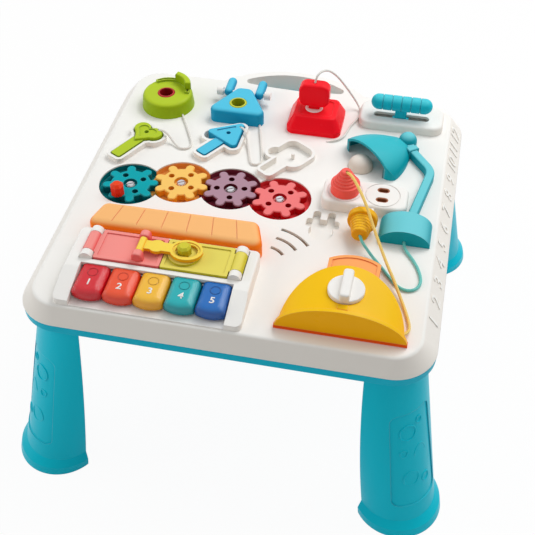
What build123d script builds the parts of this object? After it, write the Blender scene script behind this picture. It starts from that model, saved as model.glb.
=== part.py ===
"""Toddler activity table: a legged play deck with locks, gears, a piano house, a lamp and a toaster."""
import math
import os

from build123d import *

# Table shell, heights from the floor
DECK = 232.0
SKIRT = 212.0
SHELL_KNEE, SHELL_FLOOR = 203.0, 194.0
DECK_W, DECK_D, DECK_R = 400.0, 411.0, 42.0
BEVEL, FRONT_BEVEL, FIELD_R, DECK_EASE = 15.0, 8.5, 28.0, 4.0
SHELL_STEP, SHELL_INSET = 0.5, 8.0
WALL, EDGE_EASE = 3.0, 2.5
HANDLE_HALF, HANDLE_ROOT_Y, HANDLE_OUT_Y = 105.0, 195.0, 233.0
HANDLE_TOP_HALF, HANDLE_TOP_ROOT_Y, HANDLE_TOP_OUT_Y = 92.0, 182.0, 225.0
SLOT_HALF, SLOT_END_Y, SLOT_BACK_Y, SLOT_FRONT_Y, SLOT_ROUND = 53.0, 195.0, 211.0, 191.5, 5.0

# Legs, set in from the deck's corner along both edges
LEG_TOP_IN, LEG_TOP_R = 54.0, 45.0
LEG_FOOT_IN, LEG_FOOT_R = 15.0, 40.0
FLARE_R, FLARE_LOW, FLARE_TOP = 45.0, 9.0, 17.0
LEG_CUT_TOP, LEG_CUT_FOOT = 25.0, -10.0
LEG_WALL = 3.0
PANEL_DEEP, PANEL_TOP_HALF, PANEL_FOOT_HALF = 1.2, 23.0, 27.0
PANEL_LOW, PANEL_HIGH, PANEL_EASE, PANEL_FROM = 36.0, 152.0, 8.0, 252.0
SPIGOT_R, SPIGOT_LEN, SPIGOT_IN = 6.5, 12.0, 29.5

# Gears in their wells
GEAR_CENTRES = [(-137.9, -14.7), (-86.0, -1.5), (-32.4, -1.5), (21.0, -6.5)]
GEAR_NAMES = ["gear_teal", "gear_yellow", "gear_plum", "gear_red"]
GEAR_TEETH = 8
GEAR_PITCH_R, GEAR_LOBE_R, GEAR_BODY_R = 24.5, 4.8, 21.5
GEAR_LIFT, GEAR_TOP, GEAR_EDGE = 0.5, 0.5, 0.9
WELL_R, WELL_DEEP = 33.0, 8.0
POST_R, POST_FIT = 3.6, 0.07
CAP_R, CAP_SEAT_R, CAP_SEAT, CAP_PLAY, CAP_DROP = 4.6, 7.4, 4.6, 0.3, 1.6
CAP_SLOT, CAP_TURN = 1.2, 30.0
GEAR_HOLE_R, GEAR_HOLE_OUT, GEAR_HOLES = 3.2, 14.5, 4
CRANK_OUT, CRANK_ANGLE = 20.0, -113.0
CRANK_R, CRANK_H, CRANK_EDGE, CRANK_LIFT = 7.2, 14.0, 3.0, 0.3
PEG_PIN_R, PEG_PIN_FIT, PEG_CROWN = 2.5, 0.06, 3.5

# Green lock
GREEN_X, GREEN_Y, GREEN_R, GREEN_TOP_R, GREEN_H, LOCK_EASE = -137.0, 131.0, 30.0, 28.0, 17.0, 5.0
RIM_IN, RIM_OUT, RIM_H, RIM_FROM, RIM_TO = 20.5, 25.0, 2.5, 0.0, 138.0
SHACKLE_IN, SHACKLE_OUT, SHACKLE_H = 20.0, 27.0, 9.0
SHACKLE_FROM, SHACKLE_TO, SHACKLE_EASE, SHACKLE_LIFT = 12.0, 78.0, 2.2, 0.3
TONGUE_W, TONGUE_PLAY, TONGUE_DEEP, TONGUE_LIFT, TRACK_END = 1.4, 0.35, 2.6, 0.4, 3.0
NOTCH_R, NOTCH_ANGLE, NOTCH_Z = 4.0, 150.0, 4.0
GREEN_HOLE_X, GREEN_HOLE_Y = -138.0, 129.0

# Blue lock with two ears on a cross axle
BLUE_X, BLUE_FRONT_Y, BLUE_BACK_Y, BLUE_H, BLUE_EASE = -52.0, 108.0, 158.0, 17.0, 8.0
BLUE_FRONT_HALF, BLUE_BACK_HALF = 30.5, 11.5
EAR_OUT, EAR_R, EAR_LEN, AXLE_Y, AXLE_Z = 18.0, 5.2, 25.0, 152.0, 12.0
AXLE_R, AXLE_FIT, KNOB_R, KNOB_LEN, KNOB_GAP = 2.2, 0.06, 4.6, 7.0, 1.0
BLUE_HOLE_X, BLUE_HOLE_Y = -53.0, 126.0

# Red lock
RED_X, RED_Y, RED_W, RED_D, RED_H, RED_R = 36.0, 131.0, 61.0, 53.0, 20.0, 9.0
RED_STEP, RED_IN, RED_TOP_R, RED_DISH, RED_RIM = 6.0, 7.0, 6.0, 1.2, 5.0
RED_KEY_X, RED_KEY_Y = 33.0, 132.0

# Keyhole barrels
BARREL_HOLE_R, BARREL_FIT, BARREL_DEEP, BARREL_LIFT, BARREL_PROUD = 10.0, 0.06, 13.0, 0.3, 0.6
BARREL_EDGE, BARREL_FLOOR, KEYHOLE_R = 0.8, 3.0, 7.6

# Keys and trays
KEY_T, BLADE_T, KEY_EASE, KEY_SEAT, KEY_SUNK = 9.5, 7.0, 1.6, 0.3, 1.2
BLADE_W, BLADE_EASE = 12.5, 2.0
TRAY_PLAY, TRAY_WALL, TRAY_H, TRAY_SINK = 1.2, 3.4, 6.0, 2.0
PEG_R, PEG_H, KEY_HOLE_R = 2.0, 5.0, 2.5
GREEN_KEY_X, GREEN_KEY_Y, GREEN_KEY_TURN, GREEN_BLADE = -143.0, 64.5, -118.0, 49.0
BLUE_KEY_X, BLUE_KEY_Y, BLUE_KEY_TURN, BLUE_BLADE = -53.5, 79.5, -122.0, 43.0
EMPTY_X, EMPTY_Y, EMPTY_TURN, EMPTY_BLADE = 21.9, 63.2, -124.0, 43.0
GREEN_HEART, GREEN_GROOVE = 18.0, 11.5
BLUE_TRI, BLUE_TRI_EASE, BLUE_GROOVE_OUT, BLUE_GROOVE_W, BLUE_GROOVE_L = 27.0, 4.0, 8.0, 2.6, 22.0
RED_SQUARE, RED_SQUARE_EASE = 33.0, 9.0
FINGER_R, FINGER_ALONG, FINGER_SIDE = 8.0, 12.0, -15.0
HEAD_W, HEAD_T, HEAD_LOW, HEAD_TOP, HEAD_EASE = 34.0, 15.0, 24.0, 52.0, 3.0
STEM_FIT = 0.2

# House with doors and piano
HOUSE_X, HOUSE_W, HOUSE_FRONT, HOUSE_BACK, HOUSE_H, HOUSE_R = -68.0, 180.0, -195.0, -103.0, 16.0, 6.0
CHEEK_Y, CHEEK_LOW = -158.0, 6.0
KEY_COUNT, KEY_PITCH, KEY_W, KEY_BACK, KEY_FRONT = 5, 29.6, 28.4, -152.2, -189.0
KEY_TOP, KEY_LOW, KEY_BED, KEY_BOW, KEY_SHELL, KEY_ROUND = 15.0, 4.0, 1.2, 4.0, 3.0, 6.0
PIVOT_Y, PIVOT_Z, PIVOT_R, PIVOT_FIT, PIVOT_SEAT, PIVOT_EYE = -150.8, 8.0, 1.5, 0.06, 4.0, 12.0
EYE_WALL, RAIL_LOW = 1.6, 12.0
PAD_Y, PAD_R, PAD_GAP = -172.0, 4.0, 1.6
DOOR_FRONT, DOOR_BACK, DOOR_T, DOOR_TOP, DOOR_RIM, DOOR_RIM_W = -146.0, -106.4, 3.0, 17.0, 1.2, 3.5
DOOR_MID, DOOR_SEAM, DOOR_PLAY, POCKET_Z = -67.5, 0.8, 0.4, 3.0
LEFT_AXIS_X, RIGHT_AXIS_X, AXIS_Z, HINGE_R, HINGE_GAP = -140.0, 5.0, 16.0, 6.2, 0.8
HINGE_Y0, HINGE_Y1, HINGE_END = -138.5, -114.0, 0.4
PIN_R, PIN_FIT, PIN_SEAT = 1.5, 0.06, 1.5
LUG_X, LUG_Z, LUG_R, LUG_LEN, LUG_EASE, LUG_NEAR_Y, LUG_FAR_Y = -90.0, 22.5, 5.5, 9.0, 2.4, -139.5, -112.0
HASP_PIN_R, HASP_FIT, HASP_EYE, HASP_GAP, HASP_LOW, HASP_TOP = 1.6, 0.06, 2.3, 0.4, 20.6, 24.2
RING_X, RING_A, RING_B, RING_SUNK, RING_LIP = -46.0, 16.0, 13.5, 1.0, 2.6
HOLE_X, HOLE_L, HOLE_W = -45.8, 21.5, 16.6
STRAP_END, STRAP_W, STRAP_BUMP_X, STRAP_BUMP_R = -55.0, 11.5, -75.0, 8.0
LATCH_X, LATCH_Y, LATCH_R, LATCH_TOP, LATCH_EDGE, LATCH_LIFT = -48.0, -124.5, 7.0, 30.0, 2.2, 0.3
LATCH_BOSS_R, LATCH_BOSS_GAP = 16.0, 0.7
ROOF = [(-156.0, -102.7), (-146.0, -68.0), (12.0, -66.0), (24.0, -102.7)]
ROOF_H, ROOF_EASE, ROOF_CORNER, ROOF_WALL = 22.0, 8.0, 9.0, 2.5
PLANKS, PLANK_GAP, PLANK_DEEP, PLANK_END = 7, 0.7, 0.7, 3.0

# Lamp
BASE_X, BASE_HALF, BASE_H, BASE_FRONT, BASE_BACK = 154.0, 26.0, 17.5, -51.0, -20.0
ARM = [(156.0, -26.0), (171.5, 61.0), (148.0, 92.0), (141.5, 108.0)]
ARM_W, ARM_H, ARM_EDGE, ARM_BEND, KNUCKLE_R, KNUCKLE_Z = 9.5, 9.0, 2.5, 22.0, 10.0, 7.0
CLIP_L, CLIP_W, CLIP_PROUD, CLIP_EDGE = 7.0, 12.5, 1.8, 0.8
SHADE_X, SHADE_Y, SHADE_TURN, SHADE_R, SHADE_LEN, SHADE_NECK = 101.0, 66.0, 48.0, 39.0, 56.0, 12.0
SHADE_H, SHADE_WALL, SHADE_CORNER = 26.0, 3.0, 12.0
SHADE_CURVE = [(18.0, 3.0), (36.0, 12.0)]
BULB_X, BULB_Y, BULB_R, BULB_FIT, BULB_SKIRT, BULB_TRAVEL = 96.0, 62.5, 13.5, 0.35, 3.5, 3.0

# Outlet and plugs
OUTLET_X, OUTLET_Y, OUTLET_W, OUTLET_D, OUTLET_H, OUTLET_R = 108.0, 5.0, 88.0, 40.0, 13.0, 10.0
OUTLET_EASE, OUTLET_RING_R, OUTLET_RING_W, OUTLET_RING_DEEP = 4.0, 18.0, 0.8, 0.6
PLUG_X, SOCKET_X, PRONG_STEP = 87.0, 126.0, 15.0
PRONG_L, PRONG_W, PRONG_LEN, PRONG_PLAY = 9.4, 4.2, 11.0, 0.4
LINER, LINER_DEEP, LINER_SUNK, SOCKET_FLOOR = 1.3, 11.4, 0.4, 0.6
PLUG_R, PLUG_EASE, PLUG_SEAT, RIB_EDGE, RIB_SINK = 15.0, 1.5, 0.15, 0.9, 0.4
CORAL_COLLAR, CORAL_LEN, CORAL_RIBS, CORAL_RIB_R, CORAL_STEP = 11.0, 26.0, 5, 12.4, 1.8
YELLOW_COLLAR, YELLOW_LEN, YELLOW_RIBS, YELLOW_RIB_R, YELLOW_STEP = 7.0, 26.0, 6, 11.8, 0.7
LOOSE_X, LOOSE_FACE_Y, LOOSE_LIFT = 111.0, -36.0, 0.3
REST_X, REST_Y, REST_DEEP, REST_W, REST_D, REST_R = 71.0, -36.0, 7.0, 34.0, 12.0, 3.0
REST_DOME_R, REST_DOME_Y, REST_SLOT_W, REST_SLOT_L, REST_SLOT_Y = 12.5, -12.0, 8.0, 16.0, 10.0

# Slide handle
RUN_X, RUN_Y, RUN_W, RUN_D, RUN_H, RUN_R, RUN_EASE = 130.0, 152.0, 94.0, 44.0, 10.0, 12.0, 4.0
RUN_SLOT_Y, RUN_SLOT_L, RUN_SLOT_W, RUN_SIDE, RUN_FLOOR = 147.0, 62.0, 9.0, 7.0, 1.5
GRIP_X, GRIP_Z, GRIP_R, GRIP_LEN = 129.0, 27.0, 8.7, 68.0
GRIP_GROOVES, GRIP_STEP, GRIP_GROOVE_W, GRIP_GROOVE_DEEP = 5, 10.4, 1.0, 0.9
STEM_L, STEM_W, STEM_EASE = 13.0, 7.6, 1.5
FOOT_L, FOOT_W, FOOT_T, FOOT_PLAY = 18.0, 15.0, 2.5, 0.3

# Toaster
TOAST_X, TOAST_FRONT, TOAST_HALF, TOAST_DEEP, TOAST_H = 110.5, -183.0, 57.5, 63.0, 30.0
TOAST_BASE, TOAST_WALL, VAULT_WIDE = 4.0, 2.5, 2.0
PLATE_HALF, PLATE_H, PLATE_T = 61.0, 33.0, 4.0
MARK_D, MARK_PROUD, MARK_GAP = 6.0, 0.8, 1.2
DIAL_Y, DIAL_R, DIAL_T, DIAL_SUNK, DIAL_LIFT, DIAL_PLAY, DIAL_EASE = -152.0, 17.0, 3.5, 1.0, 0.3, 0.6, 1.2
BAR_W, BAR_H, BAR_OVER, BAR_EASE = 9.5, 8.0, 0.7, 2.0
SHAFT_R, SHAFT_FIT, SHAFT_BOSS, SHAFT_BOSS_H = 4.0, 0.06, 4.0, 7.0
PINION_TEETH, PINION_MODULE = 10, 2.0
TOOTH_ROOT, TOOTH_PITCH, TOOTH_TIP = 2.1, 1.3, 0.8
BREAD_X, BREAD_W, BREAD_END, BREAD_IN, BREAD_LOW, BREAD_TOP = 112.0, 50.0, -89.0, -126.0, 6.0, 14.0
BREAD_R, BREAD_RIM, BREAD_SUNK, BREAD_PLAY, BREAD_CROWN = 5.0, 3.5, 1.0, 0.6, 8.0
RACK_END, RACK_BACK, RACK_INSET = -161.0, 6.0, 1.0

# Cords, drawn thin and limp
WHITE_R, COLOUR_R, CORD_PLAY, CORD_SNUG = 1.2, 1.5, 0.35, 0.1

# Inside pieces
SPEAKER_X, SPEAKER_Y, SPEAKER_R, SPEAKER_RIM, MAGNET_R, MAGNET_H = 44.0, -72.0, 20.0, 3.5, 12.0, 9.5
ARC_X, ARC_Y, ARC_RADII, ARC_W, ARC_FROM, ARC_TO = 22.0, -102.5, (23.0, 37.5, 51.0), 3.4, 38.0, 79.0
BOARD_X, BOARD_Y, BOARD_W, BOARD_D, BOARD_T = -60.0, 40.0, 90.0, 50.0, 1.6
STAND_R, STAND_H, STAND_IN = 2.5, 9.0, 5.0
BAY_X, BAY_Y, BAY_W, BAY_D, BAY_H, BAY_R = 60.0, 60.0, 56.0, 52.0, 17.5, 2.0
CELL_R, CELL_LEN, CELL_STEP, CELL_LIFT = 7.0, 50.0, 16.0, 0.3
HATCH_T, HATCH_LIP, HATCH_PLAY, HATCH_R = 2.5, 2.0, 0.3, 3.0
SCREW_X, SCREW_Y, SCREW_MID_Y = 155.0, 95.0, 165.0
SCREW_R, SCREW_HEAD_R, SCREW_HEAD_T, SCREW_BITE, POST_WALL = 1.6, 3.2, 2.0, 10.0, 2.6
SWITCH_X, SWITCH_Y, SWITCH_L, SWITCH_W, SWITCH_TRAVEL = 0.0, 110.0, 6.0, 4.0, 2.0
SWITCH_PLAY, SWITCH_PROUD, SWITCH_LIP, SWITCH_T = 0.3, 1.5, 2.0, 1.5

# Cord routes, heights above the deck
GREEN_CORD = [(-116.0, 113.5, 1.6), (-106.8, 95.5, 1.6), (-96.8, 75.0, 1.6), (-90.0, 60.0, 1.6),
              (-93.7, 52.6, 1.6), (-101.8, 51.2, 1.6), (-109.5, 57.5, 2.4), (-115.5, 62.3, 6.6),
              (-121.0, 65.5, 10.4), (-127.0, 68.3, 10.4), (-132.0, 69.5, 7.2)]
BLUE_CORD = [(-25.5, 112.0, 1.6), (-21.0, 94.5, 1.6), (-16.2, 77.0, 1.6), (-13.0, 64.5, 1.6),
             (-10.6, 54.0, 1.6), (-9.6, 46.5, 1.6), (-11.8, 41.8, 1.6), (-16.2, 40.2, 1.6),
             (-20.4, 42.0, 1.6), (-23.2, 49.0, 1.6), (-26.5, 60.0, 1.6), (-30.5, 72.0, 1.8),
             (-33.0, 79.0, 6.0), (-36.0, 85.5, 10.4), (-40.5, 90.5, 10.4), (-44.0, 93.5, 7.2)]
RED_CORD = [(33.0, 132.0, 46.0), (33.0, 132.0, 56.5), (37.0, 138.5, 62.0), (44.5, 149.0, 59.0),
            (53.0, 158.0, 47.0), (61.5, 164.0, 32.0), (70.0, 167.5, 17.5), (78.5, 166.0, 6.0),
            (83.5, 157.5, 1.8), (82.0, 145.0, 1.8), (76.0, 131.5, 1.8), (73.0, 118.0, 1.8),
            (70.5, 106.5, 1.8), (63.5, 99.5, 1.8), (55.0, 97.0, 0.8), (49.5, 97.5, -5.0)]
YELLOW_CORD = [(85.5, 8.0, 33.0), (90.0, -0.5, 41.5), (97.5, -13.5, 43.8), (106.0, -28.0, 41.5),
               (114.5, -42.5, 35.8), (123.0, -57.5, 26.0), (132.0, -73.0, 17.5), (141.0, -90.0, 11.0),
               (149.5, -106.5, 8.6), (157.0, -121.5, 4.5), (163.5, -135.5, 2.0), (168.5, -149.0, 2.0),
               (171.5, -161.0, 2.6), (169.5, -170.5, 5.0), (163.5, -176.0, 7.0)]
TEAL_CORD = [(154.0, -45.0, 4.4), (154.5, -56.0, 3.4), (159.5, -63.5, 2.2), (166.5, -73.0, 1.8),
             (172.5, -85.0, 1.8), (176.0, -98.0, 1.8), (174.3, -107.5, 1.8), (169.0, -112.8, 1.8),
             (161.6, -113.8, 1.8), (153.6, -109.6, 1.8), (145.6, -99.4, 1.8), (138.0, -89.5, 1.8),
             (131.0, -81.0, 2.0), (124.5, -74.5, 4.0), (118.5, -70.0, 8.5), (113.5, -66.5, 13.0),
             (111.0, -60.0, 15.2)]


def prism(face, low, high):
    """Upright prism of a flat outline between two heights above the deck."""
    return extrude(Pos(0, 0, DECK + low) * face, high - low)


def disc(x, y, radius, low, high):
    """Upright cylinder between two heights above the deck."""
    return prism(Pos(x, y) * Circle(radius), low, high)


def block(x, y, width, depth, radius, low, high):
    """Upright rounded block between two heights above the deck."""
    return prism(Pos(x, y) * RectangleRounded(width, depth, radius), low, high)


def rod(start, end, radius):
    """Cylinder from one point to another, heights above the deck."""
    a = Vector(start[0], start[1], DECK + start[2])
    b = Vector(end[0], end[1], DECK + end[2])
    return extrude(Plane(origin=a, z_dir=b - a) * Circle(radius), (b - a).length)


def ball(x, y, z, radius):
    """Sphere at a height above the deck."""
    return Pos(x, y, DECK + z) * Sphere(radius)


def joined(solids):
    """One shape from several solids."""
    total = solids[0]
    for solid in solids[1:]:
        total += solid
    return total


def top_edges(solid):
    """Edges of the highest face."""
    return solid.faces().sort_by(Axis.Z)[-1].edges()


def polar(radius, angle):
    """Point at a radius and an angle in degrees."""
    return radius * math.cos(math.radians(angle)), radius * math.sin(math.radians(angle))


def sector(x, y, inner, outer, start, end, low, high):
    """Ring sector round an upright axis, under a half turn."""
    reach = 3 * outer
    fan = [(0, 0)] + [polar(reach, start + (end - start) * k / 4) for k in range(5)]
    flat = (Circle(outer) - Circle(inner)) & make_face(Polyline(fan, close=True))
    return prism(Pos(x, y) * flat, low, high)


def upper_half(width, height):
    """Upper half of an ellipse."""
    return Ellipse(width, height) & Pos(0, height) * Rectangle(4 * width, 2 * height)


def bowed(half, root, out, inner=None):
    """Outline with a bowed back edge and a straight or bowed front edge."""
    bow = ThreePointArc((-half, root), (0, out), (half, root))
    if inner is None:
        return make_face([bow, Line((half, root), (-half, root))])
    return make_face([bow, ThreePointArc((half, root), (0, inner), (-half, root))])


def tube(name, points, radius):
    """Cord along straight runs joined by tangent arcs."""
    pts = [Vector(x, y, DECK + z) for x, y, z in points]
    edges, at, radii = [], pts[0], []
    for before, here, after in zip(pts, pts[1:], pts[2:]):
        u, v = (here - before).normalized(), (after - here).normalized()
        turn = math.radians(u.get_angle(v))
        reach = 0.45 * min((here - before).length, (after - here).length)
        start, end = here - u * reach, here + v * reach
        radii.append(round(reach / math.tan(turn / 2), 1))
        edges += [Line(at, start), TangentArc(start, end, tangent=u)]
        at = end
    edges.append(Line(at, pts[-1]))
    path = Wire(edges)
    cord = sweep(Plane(origin=pts[0], z_dir=pts[1] - pts[0]) * Circle(radius), path=path)
    share = cord.volume / (math.pi * radius ** 2 * path.length)
    print(name, "length", round(path.length, 1), "volume share", round(share, 4), "radii", radii)
    return cord


def bore(points, radius):
    """Loose hole round a stretch of cord, for a piece that moves off it."""
    rods = [rod(a, b, radius + CORD_PLAY) for a, b in zip(points, points[1:])]
    return joined(rods + [ball(*p, radius + CORD_PLAY) for p in points[1:-1]])


def heart(size):
    """Heart outline with its point along +X."""
    lobe_r, lobe_x, lobe_y = 0.52 * size, -0.15 * size, 0.47 * size
    side_x, side_y = -0.084 * size, 0.95 * size
    lobes = Pos(lobe_x, lobe_y) * Circle(lobe_r) + Pos(lobe_x, -lobe_y) * Circle(lobe_r)
    tip = Polyline([(1.05 * size, 0), (side_x, side_y), (side_x, -side_y)], close=True)
    return lobes + make_face(tip)


def triangle(size, ease):
    """Rounded triangle outline with one corner along +Y."""
    core = size - 2 * ease
    corners = [polar(core, angle) for angle in (90, 210, 330)]
    return offset(make_face(Polyline(corners, close=True)), ease, kind=Kind.ARC)


def keyed(head, blade_len, grow=0.0):
    """Key outline at the origin, blade along +X."""
    flat = head + Pos(blade_len / 2, 0) * RectangleRounded(blade_len, BLADE_W, BLADE_EASE)
    return offset(flat, grow, kind=Kind.ARC) if grow else flat


def keyhole(x, y, height, opening):
    """Turning keyhole barrel with a shaped opening."""
    low = height - BARREL_DEEP + BARREL_LIFT
    barrel = disc(x, y, BARREL_HOLE_R - BARREL_FIT, low, height + BARREL_PROUD)
    barrel = chamfer(top_edges(barrel), BARREL_EDGE)
    return barrel - prism(Pos(x, y) * opening, low + BARREL_FLOOR, height + BARREL_DEEP)


def barrel_hole(x, y, height):
    """Round seat of a keyhole barrel."""
    return disc(x, y, BARREL_HOLE_R, height - BARREL_DEEP, height + BARREL_DEEP)


cord_green = tube("green_key_cord", GREEN_CORD, WHITE_R)
cord_blue = tube("blue_key_cord", BLUE_CORD, WHITE_R)
cord_red = tube("red_key_cord", RED_CORD, WHITE_R)
cord_yellow = tube("yellow_cord", YELLOW_CORD, COLOUR_R)
cord_teal = tube("teal_cord", TEAL_CORD, COLOUR_R)
nodes = {
    "green_key_cord": cord_green,
    "blue_key_cord": cord_blue,
    "red_key_cord": cord_red,
    "yellow_cord": cord_yellow,
    "teal_cord": cord_teal,
}

# Upper shell with its carry handle
skirt, knee, floor = SKIRT - DECK, SHELL_KNEE - DECK, SHELL_FLOOR - DECK
lens = bowed(SLOT_HALF, SLOT_END_Y, SLOT_BACK_Y, SLOT_FRONT_Y)
hand_slot = offset(lens, SLOT_ROUND, kind=Kind.ARC)
slot_rim = offset(lens, SLOT_ROUND + WALL, kind=Kind.ARC)


def at_height(z):
    """Level plane at a height above the deck."""
    return Pos(0, 0, DECK + z)


def deck_form(inset, high):
    """Bevelled deck body with its handle, drawn in by a wall."""
    low_w, low_d = DECK_W - 2 * inset, DECK_D - 2 * inset
    low = at_height(skirt) * RectangleRounded(low_w, low_d, DECK_R - inset)
    field = RectangleRounded(low_w - 2 * BEVEL, low_d - BEVEL - FRONT_BEVEL, FIELD_R - inset)
    field = Pos(0, (FRONT_BEVEL - BEVEL) / 2) * field
    low_bow = bowed(HANDLE_HALF - inset, HANDLE_ROOT_Y, HANDLE_OUT_Y - inset)
    top_bow = bowed(HANDLE_TOP_HALF - inset, HANDLE_TOP_ROOT_Y, HANDLE_TOP_OUT_Y - inset)
    body = loft([low, at_height(high) * field])
    return body + loft([at_height(skirt) * low_bow, at_height(high) * top_bow])


deck = deck_form(0.0, 0.0)
deck = fillet(top_edges(deck), DECK_EASE)
deck -= deck_form(WALL, -WALL)
deck += prism(slot_rim, skirt, -WALL)
deck -= prism(hand_slot, skirt - WALL, WALL)

# Gear wells and slotted posts
wells = Sketch() + [Pos(x, y) * Circle(WELL_R) for x, y in GEAR_CENTRES]
cups = Sketch() + [Pos(x, y) * Circle(WELL_R + WALL) for x, y in GEAR_CENTRES]
deck += prism(cups, -WELL_DEEP - WALL, -WALL / 2)
deck -= prism(wells, -WELL_DEEP, WALL)
cap_low, cap_top = GEAR_TOP - CAP_SEAT + CAP_PLAY, GEAR_TOP - CAP_DROP
for x, y in GEAR_CENTRES:
    post = disc(x, y, POST_R, -WELL_DEEP - WALL / 2, cap_low) + disc(x, y, CAP_R, cap_low, cap_top)
    split = Pos(x, y) * Rot(0, 0, CAP_TURN) * Rectangle(4 * CAP_R, CAP_SLOT)
    deck += post - prism(split, cap_low, cap_top + WALL)

# Key trays with pegs, two of them with a finger scoop
GREEN_HEAD = heart(GREEN_HEART)
BLUE_HEAD = Rot(0, 0, -30) * triangle(BLUE_TRI, BLUE_TRI_EASE)
RED_HEAD = RectangleRounded(RED_SQUARE, RED_SQUARE, RED_SQUARE_EASE)
scoop = Pos(FINGER_ALONG, FINGER_SIDE) * Circle(FINGER_R)
trays = [
    (Pos(GREEN_KEY_X, GREEN_KEY_Y) * Rot(0, 0, GREEN_KEY_TURN), keyed(GREEN_HEAD, GREEN_BLADE, TRAY_PLAY)),
    (Pos(BLUE_KEY_X, BLUE_KEY_Y) * Rot(0, 0, BLUE_KEY_TURN),
     keyed(BLUE_HEAD, BLUE_BLADE, TRAY_PLAY) + scoop),
    (Pos(EMPTY_X, EMPTY_Y) * Rot(0, 0, EMPTY_TURN), keyed(RED_HEAD, EMPTY_BLADE, TRAY_PLAY) + scoop),
]
for spot, outline in trays:
    deck += prism(spot * offset(outline, TRAY_WALL, kind=Kind.ARC), -TRAY_SINK - WALL, TRAY_H)
    deck -= prism(spot * outline, -TRAY_SINK, TRAY_H + WALL)
    deck += prism(spot * Circle(PEG_R), -TRAY_SINK - WALL / 2, PEG_H)

# Slide block with its slot
run = block(RUN_X, RUN_Y, RUN_W, RUN_D, RUN_R, -WALL / 2, RUN_H)
deck += fillet(top_edges(run), RUN_EASE)
run_room_d = FOOT_W + 2 * WALL
deck -= block(RUN_X, RUN_SLOT_Y, RUN_W - 2 * RUN_SIDE, run_room_d, STEM_EASE, RUN_FLOOR, RUN_H - WALL)
deck -= prism(Pos(RUN_X, RUN_SLOT_Y) * SlotOverall(RUN_SLOT_L, RUN_SLOT_W), RUN_FLOOR, RUN_H + WALL)

# Bulb pocket, plug rest and sound slots
pocket_r = BULB_R + BULB_FIT
pocket_floor = -BULB_SKIRT - BULB_TRAVEL - BULB_FIT
deck += disc(BULB_X, BULB_Y, pocket_r + WALL, pocket_floor - WALL, -WALL / 2)
deck -= disc(BULB_X, BULB_Y, pocket_r, pocket_floor, WALL)
rest = RectangleRounded(REST_W, REST_D, REST_R) + Pos(0, REST_DOME_Y) * Circle(REST_DOME_R)
for side in (-0.5, 0.5):
    rest += Pos(side * PRONG_STEP, REST_SLOT_Y) * RectangleRounded(REST_SLOT_W, REST_SLOT_L, REST_R)
rest = Pos(REST_X, REST_Y) * rest
deck += prism(offset(rest, WALL, kind=Kind.ARC), -REST_DEEP - WALL, -WALL / 2)
deck -= prism(rest, -REST_DEEP, WALL)
for radius in ARC_RADII:
    inner, outer = radius - ARC_W / 2, radius + ARC_W / 2
    deck -= sector(ARC_X, ARC_Y, inner, outer, ARC_FROM, ARC_TO, -2 * WALL, WALL)

# Screw posts under the deck
screw_spots = [(sx * SCREW_X, sy * SCREW_Y) for sx in (-1, 1) for sy in (-1, 1)]
screw_spots += [(0, SCREW_MID_Y), (0, -SCREW_MID_Y)]
shell_top = floor + WALL
for x, y in screw_spots:
    deck += disc(x, y, SCREW_R + POST_WALL, shell_top, -WALL / 2)
    deck -= disc(x, y, SCREW_R, shell_top - WALL, shell_top + SCREW_BITE)
nodes["top_deck"] = deck - cord_red


# Lower shell
def shell_form(inset):
    """Lower shell body with its handle, drawn in by a wall."""
    step, drop = SHELL_STEP + inset, SHELL_STEP + SHELL_INSET + inset
    foot = RectangleRounded(DECK_W - 2 * drop, DECK_D - 2 * drop, DECK_R - drop)
    mid = RectangleRounded(DECK_W - 2 * step, DECK_D - 2 * step, DECK_R - step)
    bow = bowed(HANDLE_HALF - step, HANDLE_ROOT_Y, HANDLE_OUT_Y - step)
    body = loft([at_height(floor + inset) * foot, at_height(knee) * mid]) + prism(mid, knee, skirt)
    return body + prism(bow, knee + inset, skirt)


shell = shell_form(0.0) - shell_form(WALL)
shell += prism(slot_rim, floor, skirt)
shell -= prism(hand_slot, floor, WALL)
bay_top = floor + BAY_H
shell += block(BAY_X, BAY_Y, BAY_W + 2 * WALL, BAY_D + 2 * WALL, BAY_R + WALL, floor, bay_top + WALL)
shell -= block(BAY_X, BAY_Y, BAY_W, BAY_D, BAY_R, floor - WALL, bay_top)
hatch_w, hatch_d = BAY_W + 2 * HATCH_LIP, BAY_D + 2 * HATCH_LIP
shell -= block(BAY_X, BAY_Y, hatch_w, hatch_d, HATCH_R, floor - WALL, floor + HATCH_T)
spigot_x, spigot_y = DECK_W / 2 - SPIGOT_IN, DECK_D / 2 - SPIGOT_IN
for sx in (-1, 1):
    for sy in (-1, 1):
        x, y = sx * spigot_x, sy * spigot_y
        shell += disc(x, y, SPIGOT_R + WALL, floor + WALL / 2, floor + SPIGOT_LEN + WALL)
        shell -= disc(x, y, SPIGOT_R, floor - WALL, floor + SPIGOT_LEN)
for x, y in screw_spots:
    shell -= disc(x, y, SCREW_R, floor - WALL, shell_top + WALL)
    shell -= disc(x, y, SCREW_HEAD_R, floor - WALL, floor + SCREW_HEAD_T)
switch_slot_l, switch_slot_w = SWITCH_L + 2 * (SWITCH_TRAVEL + SWITCH_PLAY), SWITCH_W + 2 * SWITCH_PLAY
switch_slot = Pos(SWITCH_X, SWITCH_Y) * RectangleRounded(switch_slot_l, switch_slot_w, SWITCH_PLAY)
shell -= prism(switch_slot, floor - WALL, shell_top + WALL)
nodes["bottom_shell"] = shell

# Legs, drawn in the front right corner and mirrored
lean = (LEG_TOP_IN - LEG_FOOT_IN) / SHELL_FLOOR
DIAGONAL = math.sqrt(0.5)


def leg_centre(z):
    """Middle of the leaning leg at a height above the floor."""
    inset = LEG_FOOT_IN + lean * z
    return DECK_W / 2 - inset, -(DECK_D / 2 - inset)


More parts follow.
